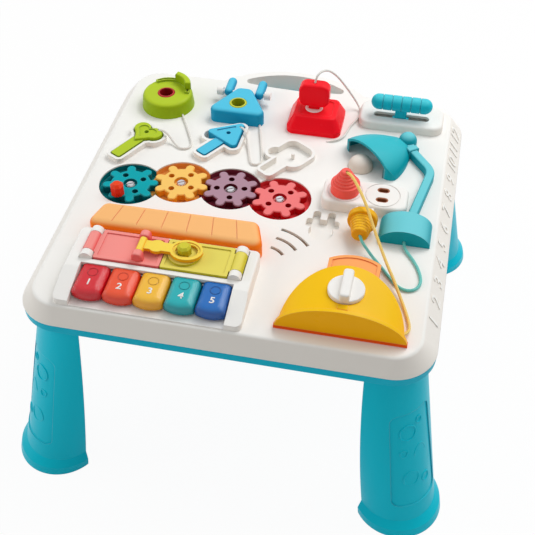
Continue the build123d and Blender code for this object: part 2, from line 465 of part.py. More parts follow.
def leg_ring(z, radius):
    """Circle across the leaning leg at a height above the floor."""
    x, y = leg_centre(z)
    return Pos(x, y, z) * Circle(radius)


def leg_form(draw):
    """Leaning leg body drawn in by a wall and cut flat on its inner side."""
    rings = [(0.0, FLARE_R), (FLARE_LOW, FLARE_R), (FLARE_TOP, LEG_FOOT_R), (SHELL_FLOOR, LEG_TOP_R)]
    body = joined([loft([leg_ring(z0, r0 - draw), leg_ring(z1, r1 - draw)])
                   for (z0, r0), (z1, r1) in zip(rings, rings[1:])])
    cuts = []
    for z, cut in ((0.0, LEG_CUT_FOOT), (SHELL_FLOOR, LEG_CUT_TOP)):
        x, y = leg_centre(z)
        cuts.append((x - y) * DIAGONAL + cut + draw)
    reach = cuts[0] + 4 * FLARE_R
    side = Polyline([(cuts[0], 0), (reach, 0), (reach, SHELL_FLOOR), (cuts[1], SHELL_FLOOR)], close=True)
    aim = Plane(origin=(0, 0, 0), x_dir=(DIAGONAL, -DIAGONAL, 0), z_dir=(-DIAGONAL, -DIAGONAL, 0))
    return body & extrude(aim * make_face(side), 4 * FLARE_R, both=True)


leg_solid = leg_form(0.0)
foot_x, foot_y = leg_centre(0.0)
panel_mid = (foot_x + foot_y) * DIAGONAL
panel_low, panel_high = PANEL_LOW + PANEL_EASE, PANEL_HIGH - PANEL_EASE
panel_foot, panel_top = PANEL_FOOT_HALF - PANEL_EASE, PANEL_TOP_HALF - PANEL_EASE
panel_pts = [(-panel_foot, panel_low), (panel_foot, panel_low), (panel_top, panel_high), (-panel_top, panel_high)]
panel_face = Pos(panel_mid, 0) * offset(make_face(Polyline(panel_pts, close=True)), PANEL_EASE, kind=Kind.ARC)
panel_at = Plane(origin=(PANEL_FROM * DIAGONAL, -PANEL_FROM * DIAGONAL, 0),
                 x_dir=(DIAGONAL, DIAGONAL, 0), z_dir=(DIAGONAL, -DIAGONAL, 0))
panel = extrude(panel_at * panel_face, 4 * FLARE_R) - leg_form(PANEL_DEEP)
leg = leg_solid - panel
room = Pos(foot_x, foot_y, 0) * Box(8 * FLARE_R, 8 * FLARE_R, 2 * (SHELL_FLOOR - LEG_WALL))
leg -= leg_form(LEG_WALL) & room
leg += disc(spigot_x, -spigot_y, SPIGOT_R, floor - LEG_WALL / 2, floor + SPIGOT_LEN)
nodes["leg_front_right"] = leg
nodes["leg_front_left"] = mirror(leg, Plane.YZ)
nodes["leg_back_right"] = mirror(leg, Plane.XZ)
nodes["leg_back_left"] = mirror(nodes["leg_front_left"], Plane.XZ)


# Gears in mesh, each phased to the one before
def bearing(a, b):
    """Angle of the line between two gear centres."""
    return math.degrees(math.atan2(b[1] - a[1], b[0] - a[0]))


phases = [bearing(GEAR_CENTRES[0], GEAR_CENTRES[1])]
for before, here in zip(GEAR_CENTRES, GEAR_CENTRES[1:]):
    phases.append(2 * bearing(before, here) + 180.0 + 180.0 / GEAR_TEETH - phases[-1])
gear_low = GEAR_LIFT - WELL_DEEP
tooth = Pos(GEAR_PITCH_R, 0) * Circle(GEAR_LOBE_R)
tooth += Pos(GEAR_PITCH_R / 2, 0) * Rectangle(GEAR_PITCH_R, 2 * GEAR_LOBE_R)
wheel = Circle(GEAR_BODY_R)
for k in range(GEAR_TEETH):
    wheel += Rot(0, 0, k * 360.0 / GEAR_TEETH) * tooth
for name, (x, y), phase in zip(GEAR_NAMES, GEAR_CENTRES, phases):
    gear = prism(Pos(x, y) * Rot(0, 0, phase) * wheel, gear_low, GEAR_TOP)
    gear = chamfer(top_edges(gear), GEAR_EDGE)
    gear -= disc(x, y, POST_R + POST_FIT, gear_low - WALL, GEAR_TOP + WALL)
    gear -= disc(x, y, CAP_SEAT_R, GEAR_TOP - CAP_SEAT, GEAR_TOP + WALL)
    for k in range(GEAR_HOLES):
        dx, dy = polar(GEAR_HOLE_OUT, phase + 180.0 / GEAR_TEETH + k * 360.0 / GEAR_HOLES)
        gear -= disc(x + dx, y + dy, GEAR_HOLE_R, gear_low - WALL, GEAR_TOP + WALL)
    nodes[name] = gear
crank_dx, crank_dy = polar(CRANK_OUT, CRANK_ANGLE)
crank_x, crank_y = GEAR_CENTRES[0][0] + crank_dx, GEAR_CENTRES[0][1] + crank_dy
crank_top, crank_pin_top = GEAR_TOP + CRANK_H, GEAR_TOP + CRANK_H - PEG_CROWN
nodes["gear_teal"] += disc(crank_x, crank_y, PEG_PIN_R, gear_low, crank_pin_top)
crank = prism(Pos(crank_x, crank_y) * RegularPolygon(CRANK_R, 8), GEAR_TOP + CRANK_LIFT, crank_top)
crank = chamfer(top_edges(crank), CRANK_EDGE)
nodes["crank_knob"] = crank - disc(crank_x, crank_y, PEG_PIN_R + PEG_PIN_FIT, 0, crank_pin_top + CRANK_LIFT)

# Green lock with a shackle running round its rim
green_foot = Pos(GREEN_X, GREEN_Y, DECK) * Circle(GREEN_R)
green_crown = Pos(GREEN_X, GREEN_Y, DECK + GREEN_H) * Circle(GREEN_TOP_R)
green = loft([green_foot, green_crown])
green = fillet(top_edges(green), LOCK_EASE)
rim_top = GREEN_H + RIM_H
track = (RIM_IN + RIM_OUT) / 2
track_half = TONGUE_W / 2 + TONGUE_PLAY
green += sector(GREEN_X, GREEN_Y, RIM_IN, RIM_OUT, RIM_FROM, RIM_TO, GREEN_H - LOCK_EASE, rim_top)
track_from, track_to, track_low = RIM_FROM + TRACK_END, RIM_TO - TRACK_END, rim_top - TONGUE_DEEP - TONGUE_LIFT
green -= sector(GREEN_X, GREEN_Y, track - track_half, track + track_half, track_from, track_to,
                track_low, rim_top + WALL)
notch_dx, notch_dy = polar(GREEN_R, NOTCH_ANGLE)
green -= disc(GREEN_X + notch_dx, GREEN_Y + notch_dy, NOTCH_R, NOTCH_Z, rim_top + WALL)
green -= barrel_hole(GREEN_HOLE_X, GREEN_HOLE_Y, GREEN_H)
nodes["green_lock_body"] = green - cord_green
hook_low = rim_top + SHACKLE_LIFT
hook_top = hook_low + SHACKLE_H
hook = sector(GREEN_X, GREEN_Y, SHACKLE_IN, SHACKLE_OUT, SHACKLE_FROM, SHACKLE_TO, hook_low, hook_top)
hook = fillet(top_edges(hook), SHACKLE_EASE)
tongue_from, tongue_to = SHACKLE_FROM + TRACK_END, SHACKLE_TO - TRACK_END
hook += sector(GREEN_X, GREEN_Y, track - TONGUE_W / 2, track + TONGUE_W / 2, tongue_from, tongue_to,
               rim_top - TONGUE_DEEP, hook_low + SHACKLE_EASE)
nodes["green_shackle"] = hook
nodes["green_keyhole"] = keyhole(GREEN_HOLE_X, GREEN_HOLE_Y, GREEN_H, Circle(KEYHOLE_R))

# Blue lock with its ears and axle
front, back = BLUE_FRONT_HALF - BLUE_EASE, BLUE_BACK_HALF - BLUE_EASE
blue_pts = [(-front, BLUE_FRONT_Y + BLUE_EASE), (front, BLUE_FRONT_Y + BLUE_EASE),
            (back, BLUE_BACK_Y - BLUE_EASE), (-back, BLUE_BACK_Y - BLUE_EASE)]
blue_face = Pos(BLUE_X, 0) * offset(make_face(Polyline(blue_pts, close=True)), BLUE_EASE, kind=Kind.ARC)
blue = prism(blue_face, 0, BLUE_H)
blue = fillet(top_edges(blue), LOCK_EASE)
blue -= barrel_hole(BLUE_HOLE_X, BLUE_HOLE_Y, BLUE_H)
axle_half = EAR_OUT + EAR_R + KNOB_GAP + KNOB_LEN
axle_ends = [(BLUE_X + side * axle_half, AXLE_Y, AXLE_Z) for side in (-1, 1)]
blue -= rod(axle_ends[0], axle_ends[1], AXLE_R + AXLE_FIT)
nodes["blue_lock_body"] = blue - cord_blue
ear_tip = AXLE_Y + EAR_LEN - EAR_R
ears, axle = [], rod(axle_ends[0], axle_ends[1], AXLE_R)
for side, end in zip((-1, 1), axle_ends):
    x = BLUE_X + side * EAR_OUT
    bar = rod((x, AXLE_Y, AXLE_Z), (x, ear_tip, AXLE_Z), EAR_R)
    ears.append((bar + ball(x, AXLE_Y, AXLE_Z, EAR_R) + ball(x, ear_tip, AXLE_Z, EAR_R)) - axle)
nodes["blue_shackle"] = joined(ears)
for side, end in zip((-1, 1), axle_ends):
    axle += rod(end, (end[0] - side * KNOB_LEN, AXLE_Y, AXLE_Z), KNOB_R)
nodes["blue_axle"] = axle
nodes["blue_keyhole"] = keyhole(BLUE_HOLE_X, BLUE_HOLE_Y, BLUE_H, Circle(KEYHOLE_R))

# Red lock with its key standing in it
red_foot = RectangleRounded(RED_W, RED_D, RED_R)
red_top = RectangleRounded(RED_W - 2 * RED_IN, RED_D - 2 * RED_IN, RED_TOP_R)
red = prism(Pos(RED_X, RED_Y) * red_foot, 0, RED_STEP)
red += loft([Pos(RED_X, RED_Y, DECK + RED_STEP) * red_foot, Pos(RED_X, RED_Y, DECK + RED_H) * red_top])
red = fillet(top_edges(red), EDGE_EASE)
dish_in = 2 * (RED_IN + RED_RIM)
red -= block(RED_X, RED_Y, RED_W - dish_in, RED_D - dish_in, RED_RIM, RED_H - RED_DISH, RED_H + WALL)
red_seat = RED_H - RED_DISH
nodes["red_lock_body"] = red - barrel_hole(RED_KEY_X, RED_KEY_Y, red_seat)
stem_hole = RectangleRounded(BLADE_W + 2 * STEM_FIT, BLADE_T + 2 * STEM_FIT, BLADE_EASE)
nodes["red_keyhole"] = keyhole(RED_KEY_X, RED_KEY_Y, red_seat, stem_hole)
upright = Plane(origin=(RED_KEY_X, RED_KEY_Y, DECK), x_dir=(1, 0, 0), z_dir=(0, -1, 0))
head_h = HEAD_TOP - HEAD_LOW
head_face = Pos(0, HEAD_LOW + head_h / 2) * RectangleRounded(HEAD_W, head_h, RED_SQUARE_EASE)
red_head = extrude(upright * head_face, HEAD_T / 2, both=True)
head_sides = red_head.faces().sort_by(Axis.Y)
red_head = fillet(head_sides[0].edges() + head_sides[-1].edges(), HEAD_EASE)
stem_low = red_seat - BARREL_DEEP + BARREL_LIFT + BARREL_FLOOR + STEM_FIT
stem = block(RED_KEY_X, RED_KEY_Y, BLADE_W, BLADE_T, BLADE_EASE, stem_low, HEAD_LOW + HEAD_EASE)
nodes["red_key"] = red_head + stem - bore(RED_CORD[:2], WHITE_R)


# Keys lying in their trays
def flat_key(spot, head, blade_len, sunk):
    """Toy key with a thick head, a sunk mark and a peg hole."""
    low = KEY_SEAT - TRAY_SINK
    body = prism(spot * head, low, KEY_T)
    body = fillet(top_edges(body), KEY_EASE)
    body += prism(spot * keyed(head, blade_len), low, BLADE_T)
    body -= prism(spot * sunk, KEY_T - KEY_SUNK, KEY_T + WALL)
    return body - prism(spot * Circle(KEY_HOLE_R), low - WALL, KEY_T + WALL)


green_key = flat_key(trays[0][0], GREEN_HEAD, GREEN_BLADE, heart(GREEN_GROOVE))
nodes["green_key"] = green_key - bore(GREEN_CORD[-3:], WHITE_R)
blue_groove = RectangleRounded(BLUE_GROOVE_W, BLUE_GROOVE_L, KEY_SUNK)
blue_mark = Rot(0, 0, 240) * Pos(BLUE_GROOVE_OUT, 0) * blue_groove
blue_key = flat_key(trays[1][0], BLUE_HEAD, BLUE_BLADE, blue_mark)
nodes["blue_key"] = blue_key - bore(BLUE_CORD[-3:], WHITE_R)

# House frame round the doors and the piano
house_mid = (HOUSE_FRONT + HOUSE_BACK) / 2
frame = block(HOUSE_X, house_mid, HOUSE_W, HOUSE_BACK - HOUSE_FRONT, HOUSE_R, 0, HOUSE_H)
frame = fillet(top_edges(frame), EDGE_EASE)
slope = Polyline([(HOUSE_FRONT - WALL, CHEEK_LOW), (CHEEK_Y, HOUSE_H), (CHEEK_Y, 2 * HOUSE_H),
                  (HOUSE_FRONT - WALL, 2 * HOUSE_H)], close=True)
side_on = Plane(origin=(HOUSE_X, 0, DECK), x_dir=(0, 1, 0), z_dir=(1, 0, 0))
frame -= extrude(side_on * make_face(slope), HOUSE_W, both=True)
keys_half = KEY_COUNT * KEY_PITCH / 2
bed_w = 2 * (keys_half + DOOR_PLAY)
bed_back = KEY_BACK + DOOR_PLAY
bed_d = bed_back - HOUSE_FRONT + 2 * WALL
frame -= prism(Pos(HOUSE_X, bed_back - bed_d / 2) * Rectangle(bed_w, bed_d), KEY_BED, 2 * HOUSE_H)
eye_r = PIVOT_R + EYE_WALL
frame -= prism(Pos(HOUSE_X, PIVOT_Y) * Rectangle(bed_w, 2 * (eye_r + DOOR_PLAY)), KEY_BED, RAIL_LOW)
hinge_mid, hinge_half = (LEFT_AXIS_X + RIGHT_AXIS_X) / 2, (RIGHT_AXIS_X - LEFT_AXIS_X) / 2
door_mid_y, door_d = (DOOR_FRONT + DOOR_BACK) / 2, DOOR_BACK - DOOR_FRONT
pocket_w = 2 * (hinge_half + HINGE_R + HINGE_GAP)
pocket = Pos(hinge_mid, door_mid_y) * Rectangle(pocket_w, door_d + 2 * DOOR_PLAY)
frame -= prism(pocket, POCKET_Z, 2 * HOUSE_H)
hinge_caps = [(DOOR_FRONT - DOOR_PLAY, HINGE_Y0 - HINGE_END), (HINGE_Y1 + HINGE_END, DOOR_BACK + DOOR_PLAY)]
pin_y0, pin_y1 = DOOR_FRONT + PIN_SEAT, DOOR_BACK - PIN_SEAT
pivot_ends = [(HOUSE_X + side * (keys_half + PIVOT_SEAT), PIVOT_Y, PIVOT_Z) for side in (-1, 1)]
pins = [rod(pivot_ends[0], pivot_ends[1], PIVOT_R)]
for x in (LEFT_AXIS_X, RIGHT_AXIS_X):
    for start, end in hinge_caps:
        frame += rod((x, start, AXIS_Z), (x, end, AXIS_Z), HINGE_R)
        cheek = Pos(x, (start + end) / 2) * Rectangle(2 * HINGE_R, end - start)
        frame += prism(cheek, POCKET_Z - WALL / 2, AXIS_Z)
    pins.append(rod((x, pin_y0, AXIS_Z), (x, pin_y1, AXIS_Z), PIN_R))
nodes["hinge_pins"] = joined(pins)
nodes["piano_bezel"] = frame - nodes["hinge_pins"]

# Piano keys on one rod, each over a rubber pad
pads = []
for i in range(KEY_COUNT):
    x, half = HOUSE_X + (i - (KEY_COUNT - 1) / 2) * KEY_PITCH, KEY_W / 2
    bow_y = KEY_FRONT + KEY_BOW
    nose = ThreePointArc((x + half, bow_y), (x, KEY_FRONT), (x - half, bow_y))
    sides = Polyline([(x - half, bow_y), (x - half, KEY_BACK), (x + half, KEY_BACK), (x + half, bow_y)])
    key = prism(make_face([nose, sides]), KEY_LOW, KEY_TOP)
    rails = key.edges().filter_by(Axis.Y).group_by(Axis.Z)[-1]
    bow = key.edges().filter_by(GeomType.CIRCLE).group_by(Axis.Z)[-1]
    key = fillet(rails + bow, KEY_ROUND)
    hollow_d = KEY_BACK - bow_y - 2 * KEY_SHELL
    hollow_y = bow_y + KEY_SHELL + hollow_d / 2
    key -= block(x, hollow_y, KEY_W - 2 * KEY_SHELL, hollow_d, KEY_SEAT, KEY_LOW - WALL, KEY_TOP - KEY_SHELL)
    key += rod((x - PIVOT_EYE / 2, PIVOT_Y, PIVOT_Z), (x + PIVOT_EYE / 2, PIVOT_Y, PIVOT_Z), eye_r)
    web = PIVOT_Y + eye_r - KEY_BACK
    web_face = Pos(x, PIVOT_Y - web / 2) * Rectangle(PIVOT_EYE, web)
    key += prism(web_face, PIVOT_Z - EYE_WALL, PIVOT_Z + EYE_WALL)
    key -= rod((x - KEY_W, PIVOT_Y, PIVOT_Z), (x + KEY_W, PIVOT_Y, PIVOT_Z), PIVOT_R + PIVOT_FIT)
    nodes[f"piano_key_{i + 1}"] = key
    pads.append(disc(x, PAD_Y, PAD_R, KEY_BED, KEY_TOP - KEY_SHELL - PAD_GAP))
nodes["key_pads"] = joined(pads)


# Doors, hasp and turn knob
def door(axis_x, free_x):
    """Door leaf with a raised border and a hinge barrel."""
    toward = math.copysign(1.0, free_x - axis_x)
    near = axis_x + toward * (HINGE_R + HINGE_GAP)
    mid, span, depth = (near + free_x) / 2, abs(free_x - near), door_d - 2 * DOOR_PLAY
    low, high = DOOR_TOP - DOOR_T, DOOR_TOP + DOOR_RIM
    leaf = block(mid, door_mid_y, span, depth, DOOR_RIM, low, high)
    panel_w, panel_d = span - 2 * DOOR_RIM_W, depth - 2 * DOOR_RIM_W
    leaf -= block(mid, door_mid_y, panel_w, panel_d, DOOR_RIM, DOOR_TOP, high + WALL)
    web_w = HINGE_R + HINGE_GAP + DOOR_RIM_W / 2
    web_at = Pos(axis_x + toward * web_w / 2, (HINGE_Y0 + HINGE_Y1) / 2)
    leaf += prism(web_at * Rectangle(web_w, HINGE_Y1 - HINGE_Y0), low, high)
    leaf += rod((axis_x, HINGE_Y0, AXIS_Z), (axis_x, HINGE_Y1, AXIS_Z), HINGE_R)
    return leaf - rod((axis_x, pin_y0, AXIS_Z), (axis_x, pin_y1, AXIS_Z), PIN_R + PIN_FIT)


left = door(LEFT_AXIS_X, DOOR_MID - DOOR_SEAM / 2)
for y in (LUG_NEAR_Y, LUG_FAR_Y):
    lug = rod((LUG_X, y - LUG_LEN / 2, LUG_Z), (LUG_X, y + LUG_LEN / 2, LUG_Z), LUG_R)
    left += fillet(lug.edges().filter_by(GeomType.CIRCLE), LUG_EASE)
    left += prism(Pos(LUG_X, y) * Rectangle(2 * LUG_R, LUG_LEN - 2 * LUG_EASE), DOOR_TOP - DOOR_RIM, LUG_Z)
left += rod((LUG_X, LUG_NEAR_Y, LUG_Z), (LUG_X, LUG_FAR_Y, LUG_Z), HASP_PIN_R)
nodes["left_door"] = left
right = door(RIGHT_AXIS_X, DOOR_MID + DOOR_SEAM / 2)
right += disc(LATCH_X, LATCH_Y, LATCH_BOSS_R, DOOR_TOP - DOOR_RIM, HASP_LOW - LATCH_BOSS_GAP)
latch_pin_top = LATCH_TOP - PEG_CROWN
right += disc(LATCH_X, LATCH_Y, PEG_PIN_R, DOOR_TOP, latch_pin_top)
nodes["right_door"] = right
hasp_y0, hasp_y1 = LUG_NEAR_Y + LUG_LEN / 2 + HASP_GAP, LUG_FAR_Y - LUG_LEN / 2 - HASP_GAP
strap = Pos((LUG_X + STRAP_END) / 2, LATCH_Y) * Rectangle(STRAP_END - LUG_X, STRAP_W)
strap += Pos(STRAP_BUMP_X, LATCH_Y) * Circle(STRAP_BUMP_R)
hasp = prism(strap + Pos(RING_X, LATCH_Y) * Ellipse(RING_A, RING_B), HASP_LOW, HASP_TOP)
ring_dish = Pos(RING_X, LATCH_Y) * Ellipse(RING_A - RING_LIP, RING_B - RING_LIP)
hasp -= prism(ring_dish, HASP_TOP - RING_SUNK, HASP_TOP + WALL)
hasp -= prism(Pos(HOLE_X, LATCH_Y) * SlotOverall(HOLE_L, HOLE_W), HASP_LOW - WALL, HASP_TOP + WALL)
hasp += rod((LUG_X, hasp_y0, LUG_Z), (LUG_X, hasp_y1, LUG_Z), HASP_PIN_R + HASP_EYE)
hasp -= rod((LUG_X, LUG_NEAR_Y, LUG_Z), (LUG_X, LUG_FAR_Y, LUG_Z), HASP_PIN_R + HASP_FIT)
nodes["door_hasp"] = hasp
latch_low = HASP_LOW - LATCH_BOSS_GAP + LATCH_LIFT
latch = prism(Pos(LATCH_X, LATCH_Y) * RegularPolygon(LATCH_R, 8), latch_low, LATCH_TOP)
latch = chamfer(top_edges(latch), LATCH_EDGE)
latch -= disc(LATCH_X, LATCH_Y, PEG_PIN_R + PEG_PIN_FIT, 0, latch_pin_top + LATCH_LIFT)
nodes["latch_knob"] = latch

# Roof cover with plank lines
roof_core = offset(make_face(Polyline(ROOF, close=True)), -ROOF_CORNER)
roof = prism(offset(roof_core, ROOF_CORNER, kind=Kind.ARC), 0, ROOF_H)
roof = fillet(top_edges(roof), ROOF_EASE)
roof -= prism(offset(roof_core, ROOF_CORNER - ROOF_WALL, kind=Kind.ARC), -WALL, ROOF_H - ROOF_EASE)
rise = ROOF[1][1] - ROOF[0][1]
for k in range(1, PLANKS):
    low_x = ROOF[0][0] + (ROOF[3][0] - ROOF[0][0]) * k / PLANKS
    top_x = ROOF[1][0] + (ROOF[2][0] - ROOF[1][0]) * k / PLANKS
    tilt = math.degrees(math.atan2(low_x - top_x, rise))
    seam = Rot(0, 0, tilt) * Rectangle(PLANK_GAP, rise - 2 * PLANK_END)
    roof -= prism(Pos((low_x + top_x) / 2, ROOF[0][1] + rise / 2) * seam, ROOF_H - PLANK_DEEP, ROOF_H + WALL)
nodes["roof_cover"] = roof

# Lamp base, arm and knuckle
base_on = Plane(origin=(BASE_X, BASE_BACK, DECK), x_dir=(1, 0, 0), z_dir=(0, -1, 0))
stand = extrude(base_on * upper_half(BASE_HALF, BASE_H), BASE_BACK - BASE_FRONT)
arm_line = FilletPolyline(*ARM, radius=ARM_BEND)
arm = prism(make_face(offset(arm_line, ARM_W / 2, kind=Kind.ARC)), 0, ARM_H)
stand += fillet(top_edges(arm), ARM_EDGE)
clip = Pos(*ARM[2]) * Rot(0, 0, bearing(ARM[1], ARM[2])) * Rectangle(CLIP_L, CLIP_W)
stand += chamfer(top_edges(prism(clip, 0, ARM_H + CLIP_PROUD)), CLIP_EDGE)
knuckle_x, knuckle_y = ARM[-1]
knuckle = disc(knuckle_x, knuckle_y, KNUCKLE_R, 0, KNUCKLE_Z)
crown = ball(knuckle_x, knuckle_y, KNUCKLE_Z, KNUCKLE_R)
knuckle += crown & disc(knuckle_x, knuckle_y, 2 * KNUCKLE_R, KNUCKLE_Z, KNUCKLE_Z + KNUCKLE_R)
stand += knuckle
nodes["lamp_stand"] = stand - cord_teal


# Lamp shade, a half bell lying on the deck
def bell(draw):
    """Flattened half bell drawn in by a wall."""
    end = SHADE_LEN - draw
    line = [(SHADE_R - draw, 0.0)] + [(SHADE_R - inset - draw, along) for along, inset in SHADE_CURVE]
    line.append((SHADE_NECK - draw, end))
    half = make_face([Line((0, 0), line[0]), Spline(line), Line(line[-1], (0, end)), Line((0, end), (0, 0))])
    flat = (SHADE_H - draw) / (SHADE_R - draw)
    plan = Pos(0, SHADE_LEN) * RectangleRounded(2 * (SHADE_R - draw), 2 * SHADE_LEN, SHADE_CORNER - draw)
    body = scale(revolve(half, Axis.Y), by=(1, 1, flat)) & extrude(plan, SHADE_LEN)
    return Pos(SHADE_X, SHADE_Y, DECK) * Rot(0, 0, SHADE_TURN - 90) * body


nodes["lamp_shade"] = bell(0.0) - bell(SHADE_WALL) - stand
dome = ball(BULB_X, BULB_Y, 0, BULB_R) & disc(BULB_X, BULB_Y, 2 * BULB_R, 0, BULB_R)
nodes["lamp_bulb"] = dome + disc(BULB_X, BULB_Y, BULB_R, -BULB_SKIRT, 0)

# Outlet block with lined sockets
outlet = block(OUTLET_X, OUTLET_Y, OUTLET_W, OUTLET_D, OUTLET_R, 0, OUTLET_H)
outlet = fillet(top_edges(outlet), OUTLET_EASE)
socket_low = SOCKET_FLOOR
liners = []
for x in (PLUG_X, SOCKET_X):
    ring = Pos(x, OUTLET_Y) * (Circle(OUTLET_RING_R) - Circle(OUTLET_RING_R - OUTLET_RING_W))
    outlet -= prism(ring, OUTLET_H - OUTLET_RING_DEEP, OUTLET_H + WALL)
    for side in (-0.5, 0.5):
        at = Pos(x, OUTLET_Y + side * PRONG_STEP)
        inner = SlotOverall(PRONG_L + 2 * PRONG_PLAY, PRONG_W + 2 * PRONG_PLAY)
        outer = SlotOverall(PRONG_L + 2 * (PRONG_PLAY + LINER), PRONG_W + 2 * (PRONG_PLAY + LINER))
        outlet -= prism(at * outer, socket_low, OUTLET_H + WALL)
        liner = prism(at * outer, socket_low, OUTLET_H - LINER_SUNK)
        liners.append(liner - prism(at * inner, OUTLET_H - LINER_DEEP, OUTLET_H + WALL))
nodes["outlet_block"] = outlet
nodes["socket_inserts"] = joined(liners)


# Plugs, one standing in the outlet and one lying loose
def plug_body(collar, length, ribs, rib_r, rib_step):
    """Ribbed plug standing on its face at the origin, cord end up."""
    solid = fillet(top_edges(extrude(Circle(PLUG_R), collar)), PLUG_EASE)
    rise = (length - collar) / ribs
    for k in range(ribs):
        rib = Pos(0, 0, collar + k * rise - RIB_SINK) * extrude(Circle(rib_r - k * rib_step), rise + RIB_SINK)
        solid += chamfer(top_edges(rib), RIB_EDGE)
    return solid


def plug_prongs():
    """Two rounded prongs below the plug's face."""
    prong = SlotOverall(PRONG_L, PRONG_W)
    return joined([extrude(Pos(0, side * PRONG_STEP, -PRONG_LEN) * prong, PRONG_LEN) for side in (-0.5, 0.5)])


seat = Pos(PLUG_X, OUTLET_Y, DECK + OUTLET_H + PLUG_SEAT)
coral = plug_body(CORAL_COLLAR, CORAL_LEN, CORAL_RIBS, CORAL_RIB_R, CORAL_STEP)
nodes["coral_plug"] = seat * (coral + plug_prongs()) - bore(YELLOW_CORD[:3], COLOUR_R)
lying = Pos(LOOSE_X, LOOSE_FACE_Y, DECK + PLUG_R + LOOSE_LIFT) * Rot(90, 0, 0) * Rot(0, 0, 90)
yellow = plug_body(YELLOW_COLLAR, YELLOW_LEN, YELLOW_RIBS, YELLOW_RIB_R, YELLOW_STEP)
nodes["yellow_plug"] = lying * yellow - cord_teal
nodes["yellow_prongs"] = lying * plug_prongs()

# Slide handle with a ribbed grip
plate_low = RUN_H - WALL
foot_top = plate_low - FOOT_PLAY
handle = block(GRIP_X, RUN_SLOT_Y, STEM_L, STEM_W, STEM_EASE, foot_top - FOOT_T, GRIP_Z)
handle += block(GRIP_X, RUN_SLOT_Y, FOOT_L, FOOT_W, STEM_EASE, foot_top - FOOT_T, foot_top)
grip_half = GRIP_LEN / 2 - GRIP_R
grip = rod((GRIP_X - grip_half, RUN_SLOT_Y, GRIP_Z), (GRIP_X + grip_half, RUN_SLOT_Y, GRIP_Z), GRIP_R)
for side in (-1, 1):
    grip += ball(GRIP_X + side * grip_half, RUN_SLOT_Y, GRIP_Z, GRIP_R)
for k in range(GRIP_GROOVES):
    x = GRIP_X + (k - (GRIP_GROOVES - 1) / 2) * GRIP_STEP
    ends = [(x - GRIP_GROOVE_W / 2, RUN_SLOT_Y, GRIP_Z), (x + GRIP_GROOVE_W / 2, RUN_SLOT_Y, GRIP_Z)]
    grip -= rod(ends[0], ends[1], 2 * GRIP_R) - rod(ends[0], ends[1], GRIP_R - GRIP_GROOVE_DEEP)
nodes["slide_handle"] = handle + grip


# Toaster shell and base
def toast_plan(draw):
    """Half round toaster outline drawn in by a wall."""
    keep = Pos(0, draw + TOAST_DEEP) * Rectangle(4 * TOAST_HALF, 2 * TOAST_DEEP)
    return Pos(TOAST_X, TOAST_FRONT) * (Ellipse(TOAST_HALF - draw, TOAST_DEEP - draw) & keep)


toast_facing = Plane(origin=(TOAST_X, TOAST_FRONT, DECK), x_dir=(1, 0, 0), z_dir=(0, -1, 0))


def toast_form(draw):
    """Vaulted toaster body drawn in by a wall."""
    vault = upper_half(TOAST_HALF + VAULT_WIDE - draw, TOAST_H - draw)
    body = prism(toast_plan(draw), TOAST_BASE, TOAST_BASE + TOAST_H)
    return body & extrude(toast_facing * vault, 2 * TOAST_DEEP, both=True)


seat_z = TOAST_H - DIAL_SUNK
toaster = toast_form(0.0) - toast_form(TOAST_WALL)
plate_foot = Pos(TOAST_X, TOAST_FRONT + PLATE_T / 2) * Rectangle(2 * PLATE_HALF, PLATE_T)
plate = extrude(toast_facing * upper_half(PLATE_HALF, PLATE_H), -PLATE_T)
toaster += plate & prism(plate_foot, TOAST_BASE, PLATE_H)
mark_y = DIAL_Y - DIAL_R - MARK_GAP - MARK_D / 2
toaster += prism(Pos(TOAST_X, mark_y) * Rectangle(BAR_W, MARK_D), seat_z - TOAST_WALL / 2, TOAST_H + MARK_PROUD)
toaster += disc(TOAST_X, DIAL_Y, SHAFT_R + SHAFT_BOSS, seat_z - SHAFT_BOSS_H, seat_z)
toaster -= disc(TOAST_X, DIAL_Y, DIAL_R + DIAL_PLAY, seat_z, TOAST_H + WALL)
toaster -= disc(TOAST_X, DIAL_Y, SHAFT_R + SHAFT_FIT, TOAST_BASE, TOAST_H + WALL)
mouth_d = BREAD_END - BREAD_IN + 2 * BREAD_R
mouth_w, mouth_top = BREAD_W + 2 * BREAD_PLAY, BREAD_TOP + BREAD_PLAY
mouth = block(BREAD_X, BREAD_END - mouth_d / 2, mouth_w, mouth_d, BREAD_PLAY, TOAST_BASE, mouth_top)
cord_hole = rod(YELLOW_CORD[-2], YELLOW_CORD[-1], COLOUR_R + CORD_SNUG)
nodes["toaster_body"] = toaster - mouth - cord_hole
nodes["toaster_base"] = prism(toast_plan(0.0) + plate_foot, 0, TOAST_BASE)

# Dial with a pinion, and bread with a rack
dial_low, dial_top = seat_z + DIAL_LIFT, TOAST_H + DIAL_T
dial = fillet(top_edges(disc(TOAST_X, DIAL_Y, DIAL_R, dial_low, dial_top)), DIAL_EASE)
bar = block(TOAST_X, DIAL_Y, BAR_W, 2 * (DIAL_R + BAR_OVER), WALL, dial_top - DIAL_EASE, dial_top + BAR_H)
dial += fillet(top_edges(bar), BAR_EASE)
dial += disc(TOAST_X, DIAL_Y, SHAFT_R, TOAST_BASE + DIAL_LIFT, dial_low + DIAL_EASE)
pitch_r = PINION_TEETH * PINION_MODULE / 2
root, tip = 1.25 * PINION_MODULE, 0.8 * PINION_MODULE
pinion = Circle(pitch_r - root)
cog = [(pitch_r - root - TOOTH_TIP, -TOOTH_ROOT), (pitch_r, -TOOTH_PITCH), (pitch_r + tip, -TOOTH_TIP),
       (pitch_r + tip, TOOTH_TIP), (pitch_r, TOOTH_PITCH), (pitch_r - root - TOOTH_TIP, TOOTH_ROOT)]
for k in range(PINION_TEETH):
    pinion += Rot(0, 0, k * 360.0 / PINION_TEETH) * make_face(Polyline(cog, close=True))
